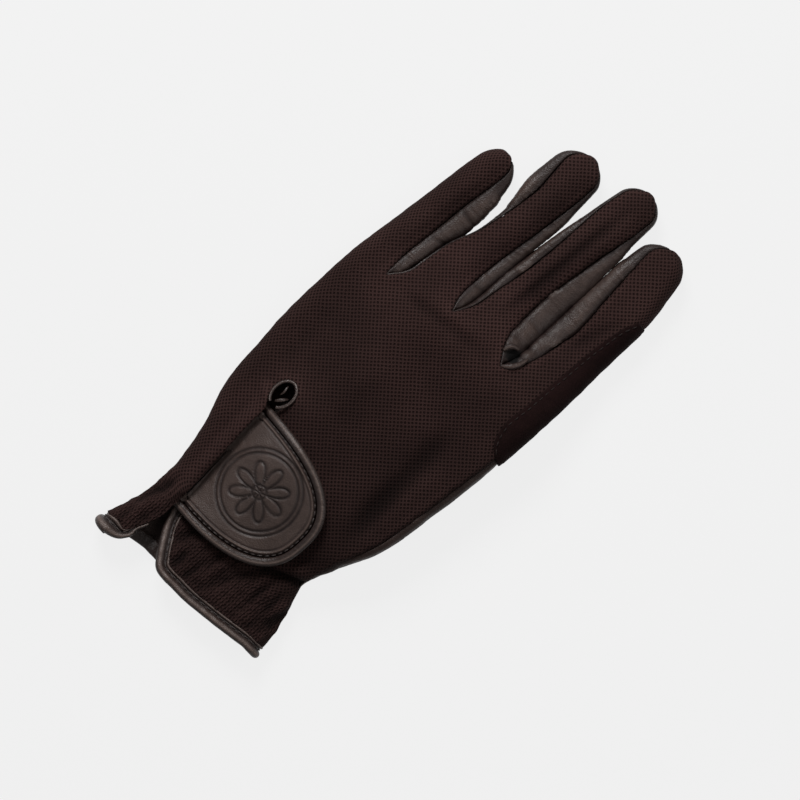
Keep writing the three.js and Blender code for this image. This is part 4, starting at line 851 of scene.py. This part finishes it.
def patch_grid(row, out, columns, trim=0.0):
    """The suede across the edge: flat from its border to where the edge rolls, and then round it."""
    s = section(3, "back_thumb", row, out)
    rolled, y = edge_rolled(s), s["y_right"]
    inner = s["right"] - EDGE_ROLL * rolled
    border = read(PATCH_EDGE, "x", y) + trim
    flat = np.maximum(inner - border, 0)
    first = np.degrees(np.arccos(np.clip((border - inner) / (EDGE_ROLL * rolled), 0, 1)))
    last = mix(-90, seam_angle(y, s), 0.5)
    arc = np.radians(first - last) * EDGE_ARC
    gone = np.linspace(0, 1, columns + 1)[None, :] * (flat + arc)
    x = np.where(gone < flat, border + gone, inner)
    angle = np.clip(first - np.degrees((gone - flat) / EDGE_ARC), None, 90) + 0 * x
    h = heights(s, x, y)
    h["crown"] = heights(s, inner, y)["crown"] + 0 * x
    over = roll(s["right"], 1, y, angle, h, rolled)
    t = (inner - x) / (inner - s["left_seam"])
    top = mix(h["crown"], h["back_seam"], np.abs(t) ** ARCH_POWER)
    on_top = (gone < flat)[..., None]
    flat_points = np.stack(np.broadcast_arrays(x, y, top), -1)
    return np.where(on_top, flat_points, over), np.stack(np.broadcast_arrays(gone, y), -1)


patch_row = np.concatenate((np.linspace(0.795, 1, 60), np.ones(60)))[:, None]
patch_out = np.concatenate((np.zeros(60), np.linspace(0, TOUCH_START, 61)[1:]))[:, None]
grid, grid_cloth = patch_grid(patch_row, patch_out, 30)
points, cloth, faces = weld([(grid, grid_cloth)])
rim_gap = distance_to(points, rim_points(faces, points))
relief = PATCH_LIFT - PATCH_RIM * bell(rim_gap, 0.6) + 0.06 * ripple(points, 5)
relief -= PATCH_CHANNEL * bell(rim_gap - CHANNEL_AT, 0.45)
points = pushed(points, faces, relief)
nap = Shader("suede", roughness=0.95, specular=0.05, sheen=0.015)
brushed = nap.noise(nap.place(), 900.0, 5.0, 0.75)
patches = nap.range(nap.noise(nap.place(), 90.0, 3.0), 0.35, 0.7)
tone = nap.blend(patches, tuple(0.7 * c for c in SUEDE_COLOUR), SUEDE_COLOUR)
suede = nap.finish(nap.blend(nap.range(brushed, 0.4, 0.75) * 0.4, tone, tuple(1.8 * c for c in SUEDE_COLOUR)),
                   brushed, 0.0003)
cloth_piece("suede_patch", points, cloth, faces, suede, "index_patch", SUEDE_WALL, relief)
brown_thread = thread("brown thread", THREAD_COLOUR)
patch_thread = thread("dark thread", PATCH_THREAD_COLOUR, gloss=0.1)
path = patch_grid(patch_row[4:], patch_out[4:], 30, trim=1.35)[0][:, 0]
stitches("patch_stitches", path + (0, 0, PATCH_LIFT - 0.15), (0.25, 0, 1), patch_thread)

# The thumb, which lies folded flat under the palm: leather on the palm's side and knitted mesh on the other.
# It is set into the oval hole with a seam that is stitched twice.
THUMB_LENGTH, THUMB_WIDTH, THUMB_HEIGHT, THUMB_LEAN, THUMB_TURN = 42, 27, 8.2, 0.2, 3
THUMB_ROOT_GAP, THUMB_TOP_GAP = 1.2, 0.7


def thumb_grid(first, last, columns):
    """Ovals that turn from the hole's level to upright ones and run on to a round tip, between two shares of
    the way round them."""
    tip = THUMB_LENGTH - TIP_ROUND
    bend = np.linspace(0, 1, 22)
    free = np.linspace(THUMB_TURN, tip, 46)[1:]
    rounding = np.sin(np.linspace(0, np.pi / 2, 14)[1:])
    turned = np.concatenate((bend, np.ones(len(free) + len(rounding))))[:, None]
    out = np.concatenate((THUMB_TURN * bend, free, tip + TIP_ROUND * rounding))[:, None]
    end = np.concatenate((0 * bend, 0 * free, rounding))[:, None]
    a = turned * np.pi / 2
    fold = 1 / np.hypot(np.cos(a) / HOLE_LENGTH, np.sin(a) / THUMB_HEIGHT)
    width = mix(HOLE_WIDTH + 1, THUMB_WIDTH, step(turned, 0, 1)) * np.sqrt(1 - end**2)
    angle = np.pi / 2 + 2 * np.pi * np.linspace(first, last, columns + 1)[None, :]

    def fuller(v):
        """A sine or cosine raised to a power, so that the oval gets fuller corners."""
        return np.sign(v) * np.abs(v) ** mix(1, 0.72, turned)
    deep = (1 - fuller(np.sin(angle))) / 2
    ahead = out - 2.2 * end**4 * (2 * deep - 1) ** 2
    downwards = fold / 2 + (deep - 0.5) * fold * mix(1, 0.6, end**2)
    ahead = ahead - downwards * np.cos(a)
    aside = width / 2 * fuller(np.cos(angle))
    size = np.hypot(1, THUMB_LEAN)
    x = HOLE_MIDDLE[0] + (aside - THUMB_LEAN * (ahead + HOLE_LENGTH / 2)) / size
    y = HOLE_MIDDLE[1] + (ahead + HOLE_LENGTH / 2 + THUMB_LEAN * aside) / size
    z = (np.minimum(low_face(x, y), THUMB_LIFT) - mix(THUMB_ROOT_GAP, THUMB_TOP_GAP, turned)
         - downwards * np.sin(a))
    return np.stack((x, y, z), -1), np.stack((x, y), -1)


for name, span, material, node, slot in (
        ("thumb_front", (0, 0.5), palm_leather, "thumb_leather", "palm_leather"),
        ("thumb_back", (0.5, 1), mesh_material, "thumb_mesh", "mesh")):
    points, cloth, faces = weld([thumb_grid(*span, 30)], turned=True)
    seam_gap = distance_to(points, rim_points(faces, points))
    relief = -0.5 * bell(seam_gap, SEAM_WIDTH) + 0.08 * ripple(points, 9)
    relief += creases(points, 9, (1.5, 0.7, 1), 0.12)
    points = pushed(points, faces, relief)
    cloth_piece(name, points, cloth, faces, material, node, LEATHER_WALL, relief)
around = np.linspace(0, 2 * np.pi, 240)
for number, step_out in enumerate((1.2, 2.8)):
    x = HOLE_MIDDLE[0] + (HOLE_WIDTH / 2 + step_out) * np.cos(around)
    y = HOLE_MIDDLE[1] + (HOLE_LENGTH / 2 + step_out) * np.sin(around)
    path = np.stack((x, y, low_face(x, y) - 0.05), -1)
    stitches(f"thumb_seam_stitches_{number + 1}", path, DOWN, brown_thread, 1.8, 2.4)

# The zigzag stitches across the palm's wrist: three rows of brown thread, which hold the elastic that gathers
# the leather there.
for number, line in enumerate(zigzags):
    gap = ((palm_under[None, :, :2] - line[:, None, :]) ** 2).sum(-1)
    path = raised(line, palm_under[gap.argmin(1), 2] - 0.02)
    stitches(f"wrist_stitches_{number + 1}", path, DOWN, brown_thread, 1.7, 2.2)

# The closing tab: two layers of leather with a rolled binding round their edge, sewn through beside the roll.
# It springs from under the folded edge of the slit's little side and lies over the thumb side.
TAB_LENGTH, TAB_WIDTH, TAB_THICKNESS, TAB_RISE, TAB_CORNER = 44.5, 50, 2, 4.4, 2.6
TAB_ROLL, TAB_ROLL_HEIGHT, TAB_UNDER, SEAM_GAP, LAY_GAP = 3.1, 2.9, 2.2, 0.4, 0.35
BASE_DROP, BASE_REACH, TAB_SUNK = 1.3, 6, 0.4
TAB_GROOVE, TAB_BEAD, TAB_CHANNEL = 0.9, 0.42, 0.3
TAB_COLOUR = (0.064, 0.0435, 0.0365)
TAB_SHADE = (0.0095, 0.0052, 0.0045)
ROSETTE = dict(middle=(-6.2, 43.2), petals=8, length=11.0, ring=14.2, eye=2.6, line=0.5, depth=0.62)
slit_top, slit_foot = (line_point("back_little", 1, r) for r in (0.515, 0.145))
tab_base = ((slit_top[0] + slit_foot[0]) / 2 + 2 * LAY_GAP, (slit_top[1] + slit_foot[1]) / 2)
tab_lean = np.arctan2(slit_top[0] - slit_foot[0], slit_top[1] - slit_foot[1])


def tab_point(reach, angle, inset=0.0):
    """A place of the tab in plan: a half superellipse, sheared so that its base follows the slit."""
    power = 2 / TAB_CORNER
    along = (TAB_LENGTH - inset) * np.maximum(np.cos(angle), 0) ** power * reach
    aside = (TAB_WIDTH / 2 - inset) * np.sign(angle) * np.abs(np.sin(angle)) ** power * reach
    lean = tab_lean * (1 - along / TAB_LENGTH)
    return tab_base[0] + along + aside * np.sin(lean), tab_base[1] + aside * np.cos(lean)


def tab_top(x, y):
    """Height of the tab's upper face, which rises off the back towards its round end."""
    away = (x - tab_base[0]) / TAB_LENGTH
    return high_face(x, y) + mix(-0.2, TAB_RISE, step(away, -0.05, 0.46))


def base_x(y):
    """x of the tab's base line at a height on the hand."""
    return tab_base[0] + (y - tab_base[1]) * np.tan(tab_lean)


def pressed_rosette(x, y):
    """Depth of the ornament: petals, a ring and an eye, each a rounded groove along its outline."""
    dx, dy = x - ROSETTE["middle"][0], y - ROSETTE["middle"][1]
    r, angle = np.hypot(dx, dy), np.arctan2(dy, dx)
    fan = np.abs(np.cos(ROSETTE["petals"] / 2 * angle))
    petal = ROSETTE["length"] * fan**0.6
    slope = np.hypot(1, ROSETTE["petals"] / 2 * 0.6 * np.sin(ROSETTE["petals"] / 2 * angle) * petal
                     / np.maximum(fan, 0.12) / np.maximum(r, 1))
    lines = ((r - petal) / slope, r - ROSETTE["ring"], r - ROSETTE["ring"] - 1.7, r - ROSETTE["eye"])
    return ROSETTE["depth"] * np.max([bell(gap, ROSETTE["line"]) for gap in lines], axis=0)


angle = np.linspace(-np.pi / 2, np.pi / 2, 181)[:, None]
reach = (1 - (1 - np.linspace(0, 1, 91)) ** 1.35)[None, :]
inset = TAB_ROLL + SEAM_GAP
x, y = tab_point(reach, angle, inset)
drop = BASE_DROP * (1 - step(x - base_x(y), 0, BASE_REACH))
fan_grid = np.stack((x, y, tab_top(x, y) - TAB_SUNK - drop), -1)
base_line = np.concatenate((fan_grid[0, ::-1], fan_grid[-1, 1:]))
behind = np.linspace(TAB_UNDER, 0, 5)[:, None, None]
tuck_grid = base_line[None] - behind * np.array((1, 0, 0.35))
points, cloth, faces = weld([(fan_grid.transpose(1, 0, 2), np.stack((x, y), -1).transpose(1, 0, 2)),
                             (tuck_grid[:, ::-1], tuck_grid[:, ::-1, :2])], turned=True)
rim = np.stack(tab_point(1, np.linspace(-np.pi / 2, np.pi / 2, 700), inset), -1)
rim_gap = distance_to(points[:, :2], rim)
relief = -TAB_GROOVE * bell(rim_gap, 0.65) + TAB_BEAD * bell(rim_gap - 1.25, 0.34)
relief -= TAB_CHANNEL * bell(rim_gap - 2.0, 0.4)
relief -= pressed_rosette(points[:, 0], points[:, 1])
relief += 0.06 * ripple(points, 12) + 0.03 * ripple(points, 4)
points[:, 2] += relief
tab_leather = leather("tab leather", TAB_COLOUR, TAB_SHADE, grain=0.8, roughness=0.5)
# The relief also serves as the tab's tone: the leather paints shade in its groove, channel and ornament and a
# highlight on its bead
cloth_piece("closing_tab", points, cloth, faces, tab_leather, "tab",
            TAB_THICKNESS - TAB_SUNK, relief)


def rod(name, rings, material, nodes, relief):
    """A closed rod through rings of points, with a flat cap at each end."""
    add_piece(name, rings.reshape(-1, 3), tube_corners(rings[None]), material, nodes, relief.ravel())


def rolled_edge(centre, wide, thick, width, thickness, sides=18, sewn=False):
    """Rings across a path, and a tone for them that paints light and shade. A plain edge is a full oval with
    a painted highlight along its top and painted shade below. A sewn one has a round roll outside, then a
    groove for the stitches, and a thin ridge along its inner side; the roll and the ridge get painted
    highlights, and the groove and the underside painted shade."""
    a = 2 * np.pi * (np.arange(sides) + 0.5) / sides
    across, up = (np.sign(v) * np.abs(v) ** 0.8 for v in (np.cos(a), np.sin(a)))
    # Painted highlight along the top, painted shade below
    tone = 1.15 * np.maximum(up, 0) ** 3 * bell(across - 0.15, 0.3) - 0.6
    if sewn:
        roll_high = np.sqrt(np.clip(1 - ((across - ROLL_AT) / (1 - ROLL_AT)) ** 2, 0, 1))
        ridge_high = np.sqrt(np.clip(1 - ((across + RIDGE_AT) / (1 - RIDGE_AT)) ** 2, 0, 1))
        profile = np.maximum(np.maximum(roll_high, RIDGE_SHARE * ridge_high), 0.1)
        # Painted highlights on the roll and the ridge, painted shade in the groove and underneath
        tone = 1.2 * np.maximum(roll_high**5, 0.9 * ridge_high**3) - 0.75 - 0.6 * (profile < 0.4)
        tone = np.where(up > 0, tone, -0.5)
        up = np.where(up > 0, profile, up)
    w = width[:, None] / 2 * across
    t = thickness[:, None] / 2 * up
    return (centre[:, None] + w[..., None] * wide[:, None] + t[..., None] * thick[:, None]), tone + 0 * w


ROLL_AT, RIDGE_AT, RIDGE_SHARE = 0.42, 0.76, 0.62
BINDING_COLOUR = (0.07, 0.05, 0.0425)
BINDING_SHADE = (0.0115, 0.0065, 0.0056)
binding_leather = leather("rolled binding leather", BINDING_COLOUR, BINDING_SHADE, grain=0.7, roughness=0.4)
angle = np.linspace(-np.pi / 2, np.pi / 2, 240)
outer, inner = (np.stack(tab_point(1, angle, i), -1) for i in (0.0, TAB_ROLL))
behind = np.linspace(TAB_UNDER, 0.3, 6)[:, None] * (-1, 0)
outer, inner = (np.concatenate((e[:1] + behind, e, e[-1:] + behind[::-1])) for e in (outer, inner))
wide = outer - inner
width = np.minimum(np.linalg.norm(wide, axis=1), TAB_ROLL * 1.25)
wide = np.concatenate((wide / np.linalg.norm(wide, axis=1, keepdims=True), np.zeros((len(wide), 1))), 1)
middle = (outer + inner) / 2
centre = raised(middle, tab_top(*middle.T) - TAB_ROLL_HEIGHT / 2 + TAB_SUNK)
centre[:, 2] -= 0.35 * np.clip(tab_base[0] - middle[:, 0], 0, None)
bumpy = 1 + 0.03 * ripple(centre, 4) + 0.025 * ripple(centre, 1.8)
centre[:, 2] -= (BASE_DROP + 0.5) * (1 - step(middle[:, 0] - base_x(middle[:, 1]), 0, BASE_REACH))
# The tab binding's tone paints a highlight along its top and shade below
rings, painted_light_and_shade = rolled_edge(centre, wide, np.broadcast_to(UP, wide.shape), width, TAB_ROLL_HEIGHT * bumpy, 28)
rod("tab_rolled_binding", rings[::-1], binding_leather, ["tab_binding"], painted_light_and_shade[::-1])
path = np.stack(tab_point(1, angle[3:-3], inset + 0.25), -1)
path = raised(path, tab_top(*path.T) - TAB_SUNK - 0.42)
stitches("tab_stitches", path, UP, brown_thread, 1.9, 2.6, radius=0.25)

# The closure under the tab: a pad of woven hooks sewn to the back of the glove, which the loops on the tab's
# underside grip. It stays hidden while the tab is shut.
hooks = Shader("hook cloth", roughness=0.8, specular=0.3)
pile = hooks.node("ShaderNodeTexVoronoi", Vector=hooks.place(), Scale=1400.0)
hook_cloth = hooks.finish(hooks.blend(pile, (0.02, 0.015, 0.014), (0.005, 0.004, 0.004)), pile, 0.0003)
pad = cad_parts["closure_pad"]
pad.data.materials.clear()
pad.data.materials.append(hook_cloth)

# The keyhole at the top of the slit: its raw edge is rolled over a thin cord, and the slit's two sides meet
# inside it in a small curl and a folded leaf of leather.
LOOP_CORD, LOOP_TURN = 1.25, (-68, 248)
LOOP_MIDDLE, LOOP_HALF = np.array((-26.5, 73.1)), np.array((4.0, 5.5))


def tangents(path):
    """Unit steps along a path."""
    way = np.gradient(path, axis=0)
    return way / np.maximum(np.linalg.norm(way, axis=1, keepdims=True), 1e-9)


def even_path(path, pitch):
    """The same path in even steps."""
    along = lengths_along(path)
    at = np.linspace(0, along[-1], int(along[-1] / pitch) + 2)
    return np.stack([np.interp(at, along, path[:, k]) for k in range(path.shape[1])], -1)


def smoothed(values, width):
    """A running mean over rows, with the ends held."""
    kernel = np.hanning(2 * width + 3)[1:-1]
    kernel /= kernel.sum()
    padded_values = np.pad(values, ((width, width), (0, 0)), mode="edge")
    return np.stack([np.convolve(padded_values[:, k], kernel, "valid") for k in range(values.shape[1])], -1)


def soft_roll(name, line, swell, flatness, sides, material, paler=0):
    """A loose roll of leather along a line: ovals across it, whose width follows the swell. Its tone paints a
    highlight along its top and shade below, and paler raises that tone.
    """
    way = tangents(line)
    wide = np.cross(way, UP)
    rings, painted_light_and_shade = rolled_edge(line, wide, np.cross(wide, way), swell, swell * flatness, sides)
    rod(name, rings[::-1], material, [], painted_light_and_shade[::-1] + paler)


turn = np.radians(np.linspace(*LOOP_TURN, 90))
path = LOOP_MIDDLE + LOOP_HALF * np.stack((np.cos(turn), np.sin(turn)), -1)
centre = raised(path, high_face(*path.T) + LAY_GAP + LOOP_CORD / 2 - 0.3)
wide = np.cross(tangents(centre), UP)
size = np.full(len(path), LOOP_CORD) * (1 + 0.04 * ripple(centre, 2.5))
# The keyhole cord's tone paints a highlight along its top and shade below
rings, painted_light_and_shade = rolled_edge(centre, wide, np.broadcast_to(UP, wide.shape), size, size, 16)
rod("keyhole_roll", rings, binding_leather, ["keyhole_loop"], painted_light_and_shade)
curl = np.stack((np.full(12, -27.2) + 0.25 * np.sin(np.linspace(0, 5, 12)), np.linspace(72.2, 76.6, 12),
                 high_face(-27.2, 75) - 1.2 + 0.5 * np.sin(np.linspace(0, np.pi, 12))), -1)
leaf = np.stack((np.linspace(-26.9, -23.9, 12), np.linspace(69.3, 73.1, 12),
                 high_face(-25.5, 71) - 1.5 + 0.6 * np.sin(np.linspace(0, np.pi, 12))), -1)
for name, line, thickness in (("keyhole_curl", curl, 0.9), ("keyhole_leaf", leaf, 1.5)):
    swell = thickness * np.sin(np.linspace(0.35, np.pi - 0.25, len(line))) ** 0.6
    soft_roll(name, line, swell, 0.8, 12, binding_leather)

# The hole that the gathers leave between the middle and the index finger. Two curled lips of the side walls'
# soft leather stand round it, where the seams end.
LIPS = (dict(start=(14.6, 142.4), bow=(14.6, 146.4), end=(18.2, 146.6)),
        dict(start=(22.9, 146.6), bow=(22.6, 141.0), end=(18.4, 138.2)))
LIP_WIDTH, LIP_PALER = 2.3, 0.3
for number, lip in enumerate(LIPS):
    t = np.linspace(0, 1, 24)[:, None]
    start, bow, end = (np.array(lip[k]) for k in ("start", "bow", "end"))
    path = (1 - t) ** 2 * start + 2 * t * (1 - t) * bow + t**2 * end
    line = raised(path, high_face(*path.T) - 0.1 + 0.5 * np.sin(np.pi * t[:, 0]))
    swell = LIP_WIDTH * np.sin(np.linspace(0.3, np.pi - 0.3, len(line))) ** 0.5
    soft_roll(f"crotch_lip_{number + 1}", line, swell, 0.9, 14, gusset_leather, LIP_PALER)

# The binding of the hem: a strip of leather folded over the raw edge and sewn through beside the fold. It
# runs down the slit, along the hem of the back, round under the palm, and over the little corner.
HEM_WIDTH, HEM_THICKNESS, END_SHARE, SLIT_ROWS, HEM_OVERLAP = 5.2, 2.9, 0.3, 11, 0.5
INWARDS = 5
HEM_PALM_COLUMNS = ((16, 8), (24, 0), (20, 0), (26, 14))
CORNER_REACH, LOBE_TAPER, LOBE_SWELL, LOBE_AT, LOBE_WIDTH = (34, 24), (5, 14), 1.4, 17, 6
fine_rows = np.linspace(0, 1, 160)
ends = [stations(k, fine_rows, 3) for k in range(4)]
back = [back_strip(k, *ends[k], *c)[0] for k, c in enumerate(BACK_COLUMNS)]
under = [palm_strip(k, *ends[k], *c)[0] for k, c in enumerate(HEM_PALM_COLUMNS)]
slit_end = int(0.15 * (len(fine_rows) - 1))
pairs = [(back[1][slit_end:0:-1, 0], back[1][slit_end:0:-1, 3])]
pairs += [(back[k][0, 1:], back[k][INWARDS, 1:]) for k in (1, 2, 3)]
pairs += [(under[k][0, -2::-1], under[k][INWARDS, -2::-1]) for k in (3, 2, 1, 0)]
pairs += [(back[0][0, 1:], back[0][INWARDS, 1:]), (back[0][1:SLIT_ROWS, -1], back[0][1:SLIT_ROWS, -4])]
edge, inside = (np.concatenate([p[k] for p in pairs]) for k in (0, 1))
edge[:, 1], inside[:, 1] = (e[:, 1] - corner_drop(e[:, 0], e[:, 1]) for e in (edge, inside))
both = even_path(np.concatenate((edge, inside), 1), 0.8)
edge, inside = both[:, :3], both[:, 3:]

# Near the little corner the path is smoothed more, and there the binding swells and then tapers up the slit
along = lengths_along(edge)
to_slit = along[-1] - along
near_corner = step(to_slit, *CORNER_REACH)[:, None]
out = (edge - inside) / np.linalg.norm(edge - inside, axis=1, keepdims=True)
out = mix(smoothed(out, 6), smoothed(out, 12), near_corner)
edge = mix(smoothed(edge, 4), smoothed(edge, 9), near_corner)
way = tangents(edge)
wide = out - (out * way).sum(1, keepdims=True) * way
wide /= np.linalg.norm(wide, axis=1, keepdims=True)
thick = np.cross(wide, way)
pucker = 0.12 * ripple(edge, 6) + 0.07 * ripple(edge, 2.6)
lobe = mix(END_SHARE, 1, step(to_slit, *LOBE_TAPER))
lobe *= mix(1, LOBE_SWELL, bell(to_slit - LOBE_AT, LOBE_WIDTH))
width = HEM_WIDTH * lobe
centre = edge - thick * 0.75 + wide * (width / 2 - HEM_OVERLAP + 0.3 * pucker)[:, None]
height = HEM_THICKNESS * (1 + pucker) * lobe**0.7
# The hem binding's tone paints highlights on the roll and the ridge and shade in the stitched groove and
# underneath
rings, relief = rolled_edge(centre, wide, thick, width, height, 64, sewn=True)
rings[..., 2] = np.maximum(rings[..., 2], 0)
rod("hem_rolled_binding", rings[::-1], binding_leather, ["hem_binding"], relief[::-1])
path = centre - wide * (0.18 * width)[:, None] + thick * (HEM_THICKNESS / 2 * 0.22)
stitches("hem_stitches", path[3:-14], thick[3:-14], brown_thread, length=2.0, pitch=2.8,
         radius=0.22)

# The floor and the lights: a pale ground under two wide soft lights and an even sky.
floor_mesh = bpy.data.meshes.new("floor")
floor_mesh.from_pydata([(-3, -3, 0), (3, -3, 0), (3, 3, 0), (-3, 3, 0)], [], [(0, 1, 2, 3)])
floor = bpy.data.objects.new("floor", floor_mesh)
bpy.context.collection.objects.link(floor)
FLOOR_GLOW, FLOOR_COLOUR, SKY = 0.822, 0.04, 0.3
paper = Shader("pale paper", roughness=1.0, specular=0.0)
paper.skin.inputs["Emission Color"].default_value = (1, 1, 1, 1)
paper.skin.inputs["Emission Strength"].default_value = FLOOR_GLOW
floor_mesh.materials.append(paper.finish((FLOOR_COLOUR, FLOOR_COLOUR, FLOOR_COLOUR)))
LIGHTS = (("key light", (-0.66, 0.42, 0.68), 15, 0.4),
          ("fill light", (0.6, 0.5, 0.9), 4.5, 0.8))
for name, place, power, size in LIGHTS:
    light_data = bpy.data.lights.new(name, "AREA")
    light_data.energy, light_data.size = power, size
    light = bpy.data.objects.new(name, light_data)
    bpy.context.collection.objects.link(light)
    light.location = place
    x, y, z = place
    light.rotation_euler = (np.arctan2(np.hypot(x, y), z), 0, np.arctan2(x, -y))
world = bpy.data.worlds.new("sky")
world.use_nodes = True
world.node_tree.nodes["Background"].inputs["Color"].default_value = (1, 1, 1, 1)
world.node_tree.nodes["Background"].inputs["Strength"].default_value = SKY
bpy.context.scene.world = world
bpy.context.scene.view_settings.view_transform = "Standard"
